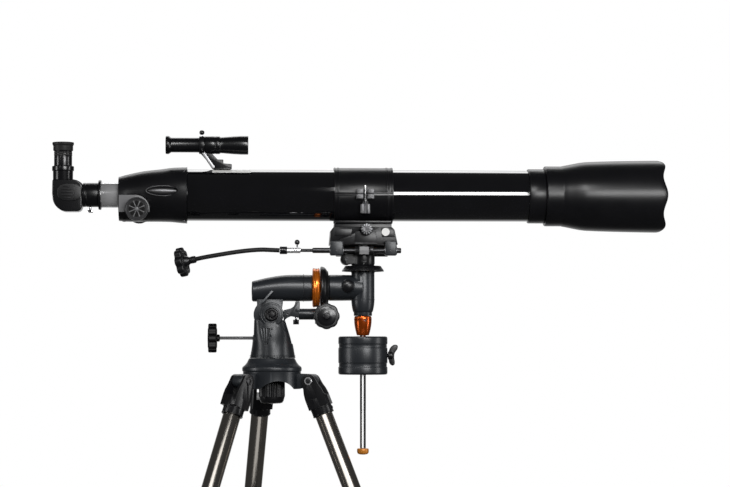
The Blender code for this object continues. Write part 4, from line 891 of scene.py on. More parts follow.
def ring_clamp():
    hinge = from_tube(0, 0, HINGE_Y)
    for node, side, spans in (("ring_lower", -1, ((-0.030, -0.011), (0.021, 0.040))),
                              ("ring_upper", 1, ((-0.0105, 0.0205),))):
        shapes = [half_shell(side)]
        for left, right in ((-0.0086, 0.0036), (0.0112, 0.0229)):
            shapes += ribbed_pad(left, right, side)
        low, high = sorted((side * 0.0006, side * 0.0034))
        shapes.append(tube_block((RING_BACK_X + 0.001, -0.0516, low),
                                 (RING_FRONT_X - 0.001, -0.0494, high), SATIN))
        for left, right in spans:
            shapes.append(cylinder(0.0052, left, right, hinge, X, SATIN, 40))
            low, high = sorted((side * 0.0008, side * 0.0050))
            shapes.append(tube_block((left, 0.0470, low), (right, HINGE_Y, high), SATIN))
        if side < 0:
            shapes.append(cylinder(0.0022, -0.0310, 0.0410, hinge, X, CHROME, 24))
            shapes.append(tube_block((-0.0445, -0.0225, -0.0506), (0.0545, 0.0225, -0.0486), SATIN, 0.0005))
            for inside, outside in ((-0.0180, -0.0290), (0.0180, 0.0290)):
                shapes.append(tube_block((-0.0452, inside, -0.0505), (0.0556, outside, -0.0462),
                                         SATIN, 0.0008))
            shapes += [socket_screw(from_tube(x, 0.0441), Z, 0.0040, 0.0010) for x in (-0.030, 0.041)]
        piece(node, *shapes)
    latch_at = from_tube(0.0074, 0, -0.0565)
    bolt = turned([(0, 0.0157), (0.0013, 0.0157), (0.0017, 0.0150), (0.0017, -0.0180), (0, -0.0180)],
                  latch_at, Z, BRIGHT, 24, ease=0.0001)
    threads = [bead(0.0019, 0.0001, -0.0114 + 0.0008 * k, 0.0004, 0.0015, latch_at, Z, CHROME, 20, 0)
               for k in range(30)]
    collar = turned([(0.0016, -0.0126), (0.0048, -0.0126), (0.0055, -0.0136), (0.0058, -0.0180),
                     (0.0016, -0.0184)], latch_at, Z, DARK_STEEL, 40, ring=True)
    nut = knurled(0.0083, -0.0349, -0.0184, latch_at, Z, GREY_STEEL_AND_HIGHLIGHT, 30, 0.0007)
    face = turned([(0, -0.0182), (0.0074, -0.0182), (0.0076, -0.0186), (0.0076, -0.0346),
                   (0.0070, -0.0349), (0, -0.0349)], latch_at, Z, GREY_STEEL_AND_HIGHLIGHT, 48)
    piece("ring_latch", bolt, collar, nut, face, *threads)
    bar = tube_block((-0.0467, -0.0220, -0.0660), (0.0562, 0.0220, -0.0509), SATIN, 0.0010)
    piece("dovetail_bar", bar)


# ---- mount head ---------------------------------------------------------
def azimuth_base():
    """The turning base: rounded cheeks with a rib pocket, seams and a turned foot."""
    rows = smooth_rows([
        (0.0000, 0.0408, 0.0408, 2.0, 0.0012), (0.0045, 0.0400, 0.0400, 2.0, 0.0012),
        (0.0245, 0.0365, 0.0360, 2.1, 0.0010), (0.0450, 0.0330, 0.0290, 2.6, -0.0012),
        (0.0680, 0.0290, 0.0240, 3.0, -0.0045)], 5)
    rings = [(h, oval(a, b, s, (c, 0), 96)) for h, a, b, s, c in rows]
    base = loft(rings, Matrix.Translation((PIER_X, SIDE_Y, HUB_TOP_Z + GAP)), GUNMETAL)
    pivot = Vector((LATITUDE_X, SIDE_Y, LATITUDE_Z))
    boss = cylinder(0.0217, -0.0250, 0.0250, pivot, Y, GUNMETAL, 96, 0.0015)
    half, at = 0.0123, Matrix.Translation(pivot)
    front = block((-0.0130, -half, -0.052), (0.07, half, 0.05), bevel=0, matrix=at)
    back = block((-0.07, -half, -0.0365), (0.07, half, 0.05), bevel=0, matrix=at)
    bolt = cylinder(0.0057, -0.04, 0.04, pivot, Y, steps=40)
    screw = cylinder(0.0035, -0.05, 0.05, (PIER_X - 0.05, SIDE_Y, LATITUDE_SCREW_Z), X, steps=24)
    fuse(base, boss)
    pocket_z = HUB_TOP_Z - TUBE_Z
    pocket = plate([(-0.1742, pocket_z + 0.0250), (-0.1662, pocket_z + 0.0250),
                    (-0.1590, pocket_z + 0.0540), (-0.1796, pocket_z + 0.0540)], 0.0200,
                   side_view(-0.0330), bevel=0)
    cut(base, front, back, bolt, screw, pocket)
    soften(base, 0.0009, 2, 40)
    # The pocket's ribs are drawn lighter grey: painted highlight on their edges.
    ribs = [plate([(left, pocket_z + 0.0538), (left + 0.0018, pocket_z + 0.0538),
                   (low + 0.0014, pocket_z + 0.0252), (low, pocket_z + 0.0252)], 0.0070,
                  side_view(-0.0235), RIB_HIGHLIGHT_GREY, 0.0003)
            for left, low in ((-0.1794, -0.1741), (-0.1742, -0.1718), (-0.1690, -0.1695),
                              (-0.1610, -0.1676))]
    rims = [sleeve(r + 0.0015, r, 0.0001, -0.0010, pivot + side * 0.0251, side, GUNMETAL, 96, 0.0003)
            for r in (0.0180, 0.0135) for side in (-Y, Y)]
    foot = [bead(0.0411, 0.0002, top, 0.0012, 0.0380, (PIER_X + 0.0012, SIDE_Y, HUB_TOP_Z + GAP), Z,
                 GUNMETAL, 128) for top in (0.0018, 0.0046)]
    piece("azimuth_base", base, *ribs, *rims, *foot)


def latitude_bolt():
    """The pivot bolt: a dark cap with concentric rings in front and a nut at the back."""
    at = Vector((LATITUDE_X, SIDE_Y, LATITUDE_Z))
    cap = turned([
        (0, 0.0322), (0.0046, 0.0321), (0.0058, 0.0314), (0.0060, 0.0301), (0.0070, 0.0300),
        (0.0078, 0.0308), (0.0100, 0.0307), (0.0112, 0.0300), (0.0121, 0.0285), (0.0121, 0.0255),
        (0.0054, 0.0255), (0.0054, -0.0330), (0, -0.0330)], at, -Y, SATIN, 80, ease=0.0004)
    hexagon = arc((0, 0), 0.0088, 12, 312, 5)
    nut = plate(hexagon, 0.0068, facing(at + Y * 0.0292, Y), DARK_STEEL, 0.0006)
    piece("latitude_bolt", cap, nut)


def thread(radius, low, high, at, axis, look, pitch=0.0011, depth=0.0003, steps=20):
    """A rod with evenly spaced round thread crests."""
    profile, spot = [(0, high), (radius - depth, high)], high
    while spot > low + pitch:
        profile += [(radius, spot - pitch * 0.5), (radius - depth, spot - pitch)]
        spot -= pitch
    return turned(profile + [(radius - depth, low), (0, low)], at, axis, look, steps, ease=0)


def lobed_knob(radius, depth, lobes, thick, middle, look=PLASTIC, edge=0.0024):
    """A moulded hand knob: lobed rim, dished face with an inner ring."""
    rim = plate(scalloped(radius, depth, lobes), thick, middle, look, 0)
    soften(rim, edge, 4, 50)
    faces = []
    for side in (-1, 1):
        at = middle @ Vector((0, 0, side * thick / 2))
        out = direction(middle, Z) * side
        faces.append(turned([(radius * 0.60, 0.0002), (radius * 0.62, 0.0007), (radius * 0.66, 0.0007),
                             (radius * 0.68, -0.0003), (radius * 0.58, -0.0003)], at, out, look, 64,
                            ring=True, ease=0.0002))
    return [rim, *faces]


def latitude_screw():
    tip, face, hub_end, inner = LATITUDE_X - 0.0136, -0.2726, -0.2517, -0.2573
    start = Vector((face, SIDE_Y, LATITUDE_SCREW_Z))
    rod = thread(0.0031, hub_end - face - 0.002, tip - face, start, X, BRIGHT)
    hub = turned([(0, hub_end - face), (0.0056, hub_end - face), (0.0064, hub_end - face - 0.0010),
                  (0.0066, 0.0130), (0, 0.0130)], start, X, PLASTIC, 48)
    middle = facing((start.x + (inner - face) / 2, SIDE_Y, start.z), X)
    knob = lobed_knob(0.0261, 0.0045, 8, inner - face, middle, PLASTIC)
    cap = turned([(0, 0.0020), (0.0094, 0.0020), (0.0094, 0.0002), (0.0080, -0.0010), (0, -0.0012)],
                 start, X, SMOOTH_PLASTIC, 48)
    piece("latitude_screw", rod, hub, cap, *knob)


def polar_housing():
    rows = smooth_rows([
        (-0.1945, 0.0095, -0.0215, 0.0155), (-0.1930, 0.0118, -0.0243, 0.0183),
        (-0.1878, 0.0130, -0.0250, 0.0190), (-0.1644, 0.0184, -0.0246, 0.0214),
        (-0.1342, 0.0227, -0.0243, 0.0232), (-0.0906, 0.0232, -0.0243, 0.0237),
        (-0.0888, 0.0224, -0.0234, 0.0229)], 5)
    rings = [(x, oval((top - low) / 2, side, center=(-(top + low) / 2, 0), count=96))
             for x, top, low, side in rows]
    along = Matrix.Translation((0, SIDE_Y, RA_Z)) @ Matrix.Rotation(math.pi / 2, 4, "Y")
    housing = loft(rings, along, GUNMETAL)
    half, disc_r, disc_x, drop = 0.0119, 0.0265, LATITUDE_X - 0.0055, RA_Z - TUBE_Z
    disc = cylinder(disc_r, -half, half, (disc_x, SIDE_Y, LATITUDE_Z), Y, GUNMETAL, 96, 0.0012)
    lug_drop = LATITUDE_Z - TUBE_Z
    web = plate([(-0.1860, drop - 0.012), (-0.1850, drop - 0.030),
                 (disc_x - disc_r + 0.003, lug_drop + 0.004), (disc_x + disc_r - 0.003, lug_drop + 0.004),
                 (-0.1390, drop - 0.030), (-0.1375, drop - 0.012)],
                2 * half - 0.0006, side_view(), GUNMETAL, 0.0010)
    tail = plate([(LATITUDE_X - 0.0125, lug_drop), (LATITUDE_X - 0.0125, lug_drop - 0.048),
                  (LATITUDE_X + 0.0080, lug_drop - 0.048), (LATITUDE_X + 0.0140, lug_drop)],
                 2 * half - 0.0042, side_view(), GUNMETAL, 0.0008)
    bore = cylinder(0.0098, 0, 0.11, (-0.1840, SIDE_Y, RA_Z), X, steps=48)
    pivot = cylinder(0.0057, -0.03, 0.03, (LATITUDE_X, SIDE_Y, LATITUDE_Z), Y, steps=40)
    fuse(housing, disc, web, tail)
    cut(housing, bore, pivot)
    seam = bead(0.0245, 0.0005, -0.1010, 0.0012, 0.0225, (0, SIDE_Y, RA_Z - 0.0004), X, GUNMETAL, 96)
    # The slanted rib on the lug is drawn lighter grey: painted highlight on its facet.
    rib = plate([(-0.1796, drop - 0.0290), (-0.1728, drop - 0.0262), (-0.1556, drop - 0.0068),
                 (-0.1600, drop - 0.0058)], 0.0080, side_view(-0.0190), RIB_HIGHLIGHT_GREY, 0.0006)
    rear = turned([(0, 0.0008), (0.0075, 0.0006), (0.0108, -0.0006), (0.0118, -0.0022), (0, -0.0022)],
                  (-0.1942, SIDE_Y, RA_Z - 0.0060), -X, SATIN, 48)
    piece("polar_housing", housing, seam, rib, rear)


def ra_worm_bracket():
    half, drop = 0.0080, RA_Z - TUBE_Z
    arm = plate([(-0.1378, drop - 0.0405), (-0.1240, drop - 0.0372), (-0.1190, drop - 0.0335),
                 (-0.1165, drop - 0.0290), (-0.1162, drop - 0.0247), (-0.1083, drop - 0.0247),
                 (-0.1083, drop - 0.0545), (-0.1240, drop - 0.0513), (-0.1310, drop - 0.0545),
                 (-0.1370, drop - 0.0600)], 2 * half, side_view(), GUNMETAL, 0.0014)
    rail = cylinder(0.0100, -0.1100, -0.0790, (0, SIDE_Y, RA_Z - 0.0475), X, GUNMETAL, 64, 0.0012)
    at = Matrix.Translation((0, SIDE_Y, RA_Z))
    plate_block = block((-0.0800, -0.0300, -0.0650), (-0.0762, 0.0300, -0.0375), GUNMETAL, 0.0010, at)
    worm = Vector((WORM_RA_X, SIDE_Y, RA_Z - WORM_RA_DROP))
    pads = [block((-0.0775, y - 0.004, -0.0640), (WORM_RA_X + 0.009, y + 0.004, -0.0400), GUNMETAL,
                  0.0022, at) for y in (-0.0260, 0.0260)]
    for pad in pads:
        cut(pad, cylinder(0.0048, -0.05, 0.05, worm, Y, steps=32))
    bushes = [sleeve(0.0074, 0.0048, 0.0006, -0.0006, worm + Y * side * 0.0301, Y * side, SATIN_ALUMINIUM_AND_HIGHLIGHT,
                     48, 0.0002) for side in (-1, 1)]
    screws = [socket_screw(Vector((-0.0761, SIDE_Y + y, RA_Z + z)), X, 0.0019, 0.0014)
              for y in (-0.0180, 0.0180) for z in (-0.0420, -0.0610)]
    post = cylinder(0.0040, -0.0120, 0.0008, (-0.1122, SIDE_Y - half, RA_Z - 0.0400), -Y, GUNMETAL, 40)
    under = Vector((-0.1148, SIDE_Y, RA_Z))
    stem = cylinder(0.0020, -0.0600, -0.0520, under, Z, CHROME, 20)
    thumb = knurled(0.0052, -0.0660, -0.0575, under, Z, SMOOTH_PLASTIC, 16, 0.0008)
    bolt = socket_screw(Vector((-0.1300, SIDE_Y - half, RA_Z - 0.0475)), -Y, 0.0030, 0.0018)
    piece("ra_worm_bracket", arm, rail, plate_block, *pads, *bushes, *screws, post, bolt, stem, thumb)


def ra_slow_motion():
    at = Vector((WORM_RA_X, SIDE_Y, RA_Z - WORM_RA_DROP))
    shaft = turned([(0, 0.0620), (0.0045, 0.0620), (0.0045, 0.0200), (0.0045, 0.0192), (0, 0.0192)],
                   at, -Y, CHROME, 40)
    worm = thread(0.0125, -0.0190, 0.0190, at, -Y, BRONZE, 0.0019, 0.0010, 64)
    back = cylinder(0.0045, -0.0340, -0.0185, at, -Y, CHROME, 40)
    knob = lobed_knob(0.0232, 0.0013, 8, 0.0140, facing(at - Y * 0.0710, -Y), PLASTIC, 0.0030)
    cone = turned([(0, 0.0712), (0.0178, 0.0712), (0.0175, 0.0690), (0.0090, 0.0610), (0.0085, 0.0566),
                   (0.0078, 0.0560), (0, 0.0600)], at, -Y, PLASTIC, 64)
    face = turned([(0, 0.0818), (0.0050, 0.0819), (0.0060, 0.0812), (0.0063, 0.0798), (0.0120, 0.0792),
                   (0.0172, 0.0784), (0.0180, 0.0772), (0.0180, 0.0740), (0, 0.0740)], at, -Y,
                  SMOOTH_PLASTIC, 64)
    piece("ra_slow_motion", shaft, worm, back, cone, face, *knob)


def dial_marks(at, radius, z_low, z_high, count, look, slope=0.0, every=5):
    """Short raised graduation marks round a setting circle, with a longer one now and then."""
    inner, outer, half = radius - 0.0003, radius + 0.00015, 0.000175
    work = bmesh.new()
    for k in range(count):
        angle = 2 * math.pi * k / count
        top = z_high if k % every == 0 else z_low + (z_high - z_low) * 0.55
        corners = []
        for z in (z_low, top):
            lean = slope * (z - z_low)
            for r in (inner + lean, outer + lean):
                for side in (-half, half):
                    x = r * math.cos(angle) - side * math.sin(angle)
                    y = r * math.sin(angle) + side * math.cos(angle)
                    corners.append(work.verts.new((x, y, z)))
        for quad in ((0, 1, 3, 2), (4, 6, 7, 5), (0, 4, 5, 1), (2, 3, 7, 6), (0, 2, 6, 4), (1, 5, 7, 3)):
            work.faces.new(corners[i] for i in quad)
    return built(work, "marks", at, look)


def ra_discs():
    at = Vector((0, SIDE_Y, RA_Z))
    circle = turned([
        (SHAFT_BORE, -0.0722), (0.0250, -0.0722), (0.0268, -0.0730), (0.0300, -0.0734), (0.0330, -0.0725),
        (0.0345, -0.0728), (0.0352, -0.0745), (0.0352, -0.0752), (0.0344, -0.0760), (0.0344, -0.0802),
        (0.0350, -0.0810), (0.0352, -0.0830), (0.0346, -0.0846), (0.0330, -0.0853), (0.0280, -0.0846),
        (0.0215, -0.0868), (SHAFT_BORE, -0.0868)], at, X, ORANGE, 128, ring=True, ease=0.0003)
    # The two deep red beads are painted shade on the circle's rims.
    edges = [bead(0.0355, 0.0002, x, 0.0008, 0.0340, at, X, DEEP_ORANGE_AND_RIM_SHADE, 128, 0.0001)
             for x in (-0.0740, -0.0828)]
    marks = dial_marks(facing(at - X * 0.0800, X), 0.0345, 0.0002, 0.0036, 72, SATIN)
    piece("ra_setting_circle", circle, *edges, marks)
    wheel = turned([
        (SHAFT_BORE, -0.0562), (0.0236, -0.0562), (0.0310, -0.0590), (0.0350, -0.0620), (0.0366, -0.0638),
        (0.0380, -0.0670), (0.0383, -0.0690), (0.0381, -0.0703), (0.0360, -0.0712),
        (SHAFT_BORE, -0.0712)], at, X, SATIN, 128, ring=True)
    ridge = turned([(0.0290, -0.0576), (0.0296, -0.0572), (0.0300, -0.0584), (0.0270, -0.0590)], at, X,
                   SATIN, 96, ring=True, ease=0)
    piece("ra_worm_wheel", wheel, ridge)


def dec_housing():
    at = from_tube(DEC_X, 0.1372)
    barrel = turned([
        (SHAFT_BORE, 0), (0.0209, 0), (0.0209, -0.0520), (0.0206, -0.0575), (0.0196, -0.0645),
        (0.0184, -0.0700), (0.0176, -0.0722), (0.0168, -0.0730), (0.0164, -0.0736), (0.0164, -0.0795),
        (SHAFT_BORE, -0.0795)], at, Z, GUNMETAL, 112, ring=True)
    ra = Vector((0, SIDE_Y, RA_Z))
    junction = turned([(0, 0.0060), (0.0210, 0.0060), (0.0228, 0.0040), (0.0231, -0.0200), (0.0234, -0.0400),
                       (0.0234, -0.0545), (0.0225, -0.0559), (0.0088, -0.0559), (0.0088, -0.1780),
                       (0, -0.1780)], ra, X, GUNMETAL, 112)
    cap_at = Vector((-0.0221, SIDE_Y, RA_Z + 0.0027))
    boss = turned([(0, 0.0262), (0.0100, 0.0262), (0.0120, 0.0240), (0.0128, 0.0200), (0.0128, 0.0080),
                   (0, 0.0080)], cap_at, -Y, GUNMETAL, 80)
    bore = cylinder(SHAFT_BORE, -0.10, 0.01, at, steps=48)
    fuse(barrel, junction, boss)
    cut(barrel, bore)
    dome = turned([(0, 0.0302), (0.0035, 0.0300), (0.0070, 0.0291), (0.0098, 0.0277), (0.0108, 0.0262),
                   (0, 0.0255)], cap_at, -Y, SATIN, 72)
    rims = [bead(0.0213, 0.0002, z, 0.0012, 0.0200, at, Z, GUNMETAL, 112) for z in (-0.0008, -0.0500)]
    piece("dec_housing", barrel, dome, *rims)


def dec_discs():
    at = from_tube(DEC_X)
    circle = turned([
        (0.0136, -0.1268), (0.0318, -0.1268), (0.0326, -0.1274), (0.0378, -0.1358), (0.0381, -0.1366),
        (0.0376, -0.1369), (0.0340, -0.1369), (0.0300, -0.1310), (0.0136, -0.1310)], at, Z, SATIN, 144,
        ring=True, ease=0.0003)
    slope = -(0.0378 - 0.0326) / (0.1358 - 0.1274)
    marks = dial_marks(facing(at - Z * 0.1354, Z), 0.0377, 0.0002, 0.0042, 120, SATIN_ALUMINIUM_AND_HIGHLIGHT, slope, 10)
    piece("dec_setting_circle", circle, marks)
    wheel = turned([
        (SHAFT_BORE, -0.0938), (0.0258, -0.0938), (0.0262, -0.0942), (0.0262, -0.1024), (0.0258, -0.1028),
        (0.0130, -0.1028), (0.0130, -0.1368), (SHAFT_BORE, -0.1368)], at, Z, BRONZE, 96, ring=True,
        ease=0.0002)
    teeth = knurled(0.0264, -0.1010, -0.0955, at, Z, BRONZE, 96, 0.0005)
    cut(teeth, cylinder(0.0240, -0.2, 0, at, steps=64))
    piece("dec_worm_wheel", wheel, teeth)


def dec_cover():
    at = from_tube(DEC_X)
    cover = turned([(0, -0.1037), (0.0206, -0.1037), (0.0214, -0.1045), (0.0214, -0.1222), (0.0208, -0.1240),
                    (0.0204, -0.1264), (0, -0.1264)], at, Z, SATIN, 112)
    lobe = cylinder(0.0105, -0.0150, 0.0150, from_tube(-0.0245, 0.1150), Y, SATIN, 72, 0.0016)
    bridge = tube_block((-0.0260, -0.0150, -0.1240), (0.0050, 0.0150, -0.1050), SATIN, 0.0012)
    fuse(cover, lobe, bridge)
    cut(cover, cylinder(0.0134, -0.14, -0.09, at, steps=64))
    index = plate([(0.0006, -0.1185), (0.0120, -0.1185), (0.0090, -0.1215), (0.0063, -0.1245),
                   (0.0036, -0.1215)], 0.0014, side_view(-0.0211), SATIN, 0.0003)
    mark = plate([(0.0060, -0.1225), (0.0066, -0.1225), (0.0064, -0.1242)], 0.0006, side_view(-0.0221),
                 WHITE, 0)
    screw = socket_screw(from_tube(-0.0245, 0.1150, -0.0150), -Y, 0.0030, 0.0016)
    piece("dec_cover", cover, index, mark, screw)


def dec_shaft():
    piece("dec_shaft", cylinder(0.0088, -0.2176, -0.0896, from_tube(DEC_X), Z, SATIN_ALUMINIUM_AND_HIGHLIGHT, 64))


def saddle():
    half = 0.0310
    outline = [(-0.0481, -0.0578), (0.0562, -0.0578), (0.0611, -0.0626), (0.0670, -0.0895),
               (-0.0554, -0.0895), (-0.0530, -0.0637)]
    body = plate(outline, 2 * half, side_view(), SATIN, 0)
    groove = tube_block((-0.08, -0.0223, -0.0663), (0.08, 0.0223, -0.05), bevel=0)
    clamp = cylinder(0.0036, 0, 0.03, from_tube(0.0103, 0.0622, -0.045), Y, steps=32)
    cut(body, groove, clamp)
    soften(body, 0.0014, 3, 30)
    worm = from_tube(0, WORM_DEC_DROP, -WORM_DEC_OUT)
    blocks = []
    for low, high in ((-0.0545, -0.0316), (0.0436, 0.0642)):
        bearing = tube_block((low, -WORM_DEC_OUT - 0.010, -0.1094), (high, -WORM_DEC_OUT + 0.011, -0.0830),
                             GUNMETAL, 0.0022)
        cut(bearing, cylinder(0.0051, -0.1, 0.1, worm, X, steps=40))
        blocks.append(bearing)
        for end, out in ((low, -X), (high, X)):
            blocks.append(turned([(0.0072, 0.0009), (0.0075, 0.0004), (0.0075, -0.0005), (0.0052, -0.0005),
                                  (0.0052, 0.0009)], worm + X * end, out, SATIN_ALUMINIUM_AND_HIGHLIGHT, 48, ring=True,
                                 ease=0.0002))
        mid = (low + high) / 2
        blocks.append(socket_screw(worm + X * mid - Y * 0.0099, -Y, 0.0024, 0.0012))
    panels = [plate(corners, thick, side_view(-half), SATIN, bevel) for corners, thick, bevel in (
        ([(-0.0462, -0.0610), (-0.0150, -0.0610), (-0.0165, -0.0740), (-0.0480, -0.0740)], 0.0016, 0.0006),
        ([(-0.0095, -0.0655), (0.0275, -0.0655), (0.0305, -0.0872), (-0.0110, -0.0872)], 0.0024, 0.0008),
        ([(0.0365, -0.0600), (0.0552, -0.0600), (0.0594, -0.0638), (0.0620, -0.0760),
          (0.0385, -0.0760)], 0.0016, 0.0006))]
    sticker = turned([(0, 0.0010), (0.0071, 0.0010), (0.0072, 0.0008), (0.0072, 0.0003), (0, 0.0003)],
                     from_tube(0.0450, 0.0668, -half), -Y, WHITE, 64, ease=0)
    # A thin light line along the saddle's lower edge: painted edge highlight.
    bright = tube_along([from_tube(x, 0.0869, -half - 0.0013) for x in (-0.0105, 0.0300)], 0.0004,
                        SATIN_ALUMINIUM_AND_HIGHLIGHT, 8)
    skirt = tube_block((-0.0420, 0.0272, -0.1088), (0.0520, 0.0302, -0.0885), SATIN)
    piece("saddle", body, skirt, sticker, bright, *blocks, *panels)


def saddle_clamp_knob():
    at = from_tube(0.0103, 0.0622)
    star = plate(scalloped(0.0112, 0.0016, 12, 10), 0.0082, facing(at - Y * 0.0400, -Y), DARK_STEEL, 0.0009)
    hub = turned([(0, 0.0452), (0.0052, 0.0452), (0.0066, 0.0446), (0.0070, 0.0436), (0.0082, 0.0432),
                  (0.0090, 0.0420), (0.0080, 0.0318), (0.0032, 0.0314), (0.0032, 0.0226), (0, 0.0226)],
                 at, -Y, DARK_STEEL, 64)
    flutes = []
    for k in range(12):
        turn = facing(at - Y * 0.0445, -Y) @ Matrix.Rotation(math.pi / 6 * k, 4, "Z")
        flutes.append(plate([(0.0020, -0.0002), (0.0096, -0.0008), (0.0096, 0.0008), (0.0020, 0.0002)],
                            0.0016, turn, SATIN_ALUMINIUM_AND_HIGHLIGHT, 0.0002))
    piece("saddle_clamp_knob", star, hub, *flutes)


def dec_worm():
    at = from_tube(0, WORM_DEC_DROP, -WORM_DEC_OUT)
    shaft = turned([
        (0, 0.0725), (0.0040, 0.0725), (0.0048, 0.0717), (0.0048, 0.0236), (0.0078, 0.0230),
        (0.0080, 0.0226), (0.0080, 0.0170), (0.0066, 0.0164), (0, 0.0164)], at, X, DARK_STEEL, 64)
    worm = thread(0.0080, 0.0148, 0.0168, at, X, DARK_STEEL, 0.0018, 0.0009, 48)
    faceted = knurled(0.0078, -0.0022, 0.0146, at, X, BRIGHT, 6, 0.0012)
    rest = thread(0.0080, -0.0100, -0.0024, at, X, DARK_STEEL, 0.0018, 0.0009, 48)
    rear = turned([
        (0, -0.0095), (0.0048, -0.0100), (0.0048, -0.0856), (0.0029, -0.0866), (0.0029, -0.1080),
        (0, -0.1080)], at, X, DARK_STEEL, 64)
    coupling = turned([
        (0.0029, -0.1078), (0.0048, -0.1080), (0.0050, -0.1084), (0.0050, -0.1180), (0.0047, -0.1186),
        (0.0047, -0.1196), (0.0050, -0.1202), (0.0050, -0.1313), (0.0064, -0.1318), (0.0067, -0.1324),
        (0.0067, -0.1444), (0.0062, -0.1450), (0, -0.1450), (0, -0.1078)], at, X, BRIGHT, 64)
    crimp = [bead(0.0069, 0.0001, x, 0.0010, 0.0060, at, X, SMOOTH_PLASTIC, 48)
             for x in (-0.1350, -0.1380, -0.1410)]
    ferrule = sleeve(0.0068, 0.0050, -0.1318, -0.1446, at, X, SMOOTH_PLASTIC, 48, 0.0003)
    spot = at - X * 0.1137
    screw = thread(0.0015, 0.0040, 0.0112, spot, Z, CHROME, 0.0007, 0.0002, 16)
    grip = turned([(0, 0.0192), (0.0022, 0.0188), (0.0040, 0.0172), (0.0047, 0.0148), (0.0042, 0.0122),
                   (0.0026, 0.0102), (0, 0.0098)], spot, Z, SMOOTH_PLASTIC, 48, ease=0.0008)
    piece("dec_worm", shaft, worm, faceted, rest, rear, coupling, ferrule, screw, grip, *crimp)


def cable_knob():
    points = cable_points()
    axis = (points[-1] - points[-2]).normalized()
    start = points[-1] + axis * 0.0004
    neck = turned([
        (0, 0.0345), (0.0092, 0.0345), (0.0112, 0.0334), (0.0120, 0.0318), (0.0120, 0.0280),
        (0.0100, 0.0180), (0.0080, 0.0140), (0.0064, 0.0112), (0.0062, 0.0100), (0.0062, 0.0006),
        (0.0056, 0), (0, 0)], start, axis, PLASTIC, 64)
    rings = [bead(0.0064, 0.0003, z, 0.0010, 0.0050, start, axis, PLASTIC, 48)
             for z in (0.0030, 0.0050, 0.0070)]
    knob = lobed_knob(0.0263, 0.0035, 8, 0.0130, facing(start + axis * 0.0260, axis), PLASTIC)
    piece("cable_knob", neck, *rings, *knob)


# ---- counterweight ------------------------------------------------------
def counterweight_parts():
    at = from_tube(DEC_X)
    bore = BAR_R + GAP
    collar = turned([
        (bore, -0.2171), (0.0140, -0.2171), (0.0152, -0.2180), (0.0157, -0.2204), (0.0158, -0.2240),
        (0.0156, -0.2290), (0.0149, -0.2350), (0.0138, -0.2410), (0.0124, -0.2470), (0.0110, -0.2515),
        (0.0106, -0.2520), (bore, -0.2520)], at, Z, AMBER, 112, ring=True)
    lip = bead(0.0160, 0.0001, -0.2222, 0.0012, 0.0150, at, Z, DEEP_ORANGE_AND_RIM_SHADE, 112, 0.0001)
    set_screw = socket_screw(at + Vector((0.00272, -0.0154, -0.2248)), -Y, 0.0024, 0.0004, DARK_STEEL,
                             0.6)
    piece("bar_lock_collar", collar, lip, set_screw)
    smooth_end, low = -0.3860, -0.4545
    bar = turned([(0, -0.2180), (BAR_R, -0.2180), (BAR_R, smooth_end),
                  (BAR_R - 0.0002, smooth_end - 0.0004), (0, smooth_end - 0.0006)], at, Z,
                 TURNED_STEEL, 72, ease=0.0001)
    grooved = thread(BAR_R, low, smooth_end - 0.0002, at, Z, TURNED_STEEL, 0.0013, 0.00018, 72)
    piece("counterweight_bar", bar, grooved)
    cap = turned([
        (0, -0.4550), (0.0090, -0.4550), (0.0102, -0.4556), (0.0105, -0.4566), (0.0105, -0.4614),
        (0.0100, -0.4634), (0.0082, -0.4652), (0.0040, -0.4662), (0, -0.4664)], at, Z, END_CAP, 80)
    grip = bead(0.0107, 0.0001, -0.4584, 0.0008, 0.0098, at, Z, END_CAP, 80, 0.0001)
    piece("bar_end_cap", cap, grip)

    outer, groove, low, top = 0.0443, 0.0432, -0.3226, -0.2538
    hole_r = BAR_R + 2 * GAP
    weight = turned([
        (hole_r, top), (outer - 0.0030, top), (outer - 0.0008, top - 0.0010), (outer, top - 0.0030),
        (outer, -0.2672), (groove, -0.2680), (groove, -0.2740), (outer, -0.2748), (outer, -0.3012),
        (groove, -0.3020), (groove, -0.3084), (outer, -0.3092), (outer, low + 0.0030),
        (outer - 0.0008, low + 0.0010), (outer - 0.0030, low), (hole_r, low)], at, Z, GUNMETAL, 160,
        ring=True, ease=0.0004)
    screw_drop = 0.2882
    spot = from_tube(DEC_X, screw_drop)
    cut(weight, cylinder(0.0043, 0.0, 0.06, spot, X, steps=32))
    piece("counterweight", weight)
    stud = thread(0.0039, 0.0062, 0.0457, spot, X, CHROME, 0.0012, 0.0003, 32)
    hub = turned([(0, 0.0545), (0.0050, 0.0545), (0.0064, 0.0538), (0.0072, 0.0522), (0.0072, 0.0452),
                  (0, 0.0452)], spot, X, PLASTIC, 56, ease=0.0008)
    outline = smooth_rows([
        (0.0464, 0.0064), (0.0492, 0.0136), (0.0548, 0.0188), (0.0606, 0.0192), (0.0630, 0.0164),
        (0.0618, 0.0110), (0.0572, 0.0040), (0.0565, -0.0050), (0.0575, -0.0110), (0.0566, -0.0166),
        (0.0524, -0.0180), (0.0480, -0.0140), (0.0464, -0.0064)], 5)
    wings = plate(outline, 0.0060, side_view() @ Matrix.Translation((DEC_X, -screw_drop, 0)), PLASTIC, 0)
    soften(wings, 0.0016, 3, 40)
    piece("counterweight_screw", stud, hub, wings)


# ---- tripod -------------------------------------------------------------
def radial_frame(azimuth, radius=0.0, z=0.0):
    """x points outward along the azimuth, y around the pier, z up."""
    turn = Matrix.Rotation(math.pi / 2 - azimuth, 4, "Z")
    return Matrix.Translation((PIER_X, SIDE_Y, z)) @ turn @ Matrix.Translation((radius, 0, 0))


def leg_frame(azimuth):
    return radial_frame(azimuth, LEG_PIVOT_R, PIVOT_Z) @ Matrix.Rotation(-LEG_TILT, 4, "Y")


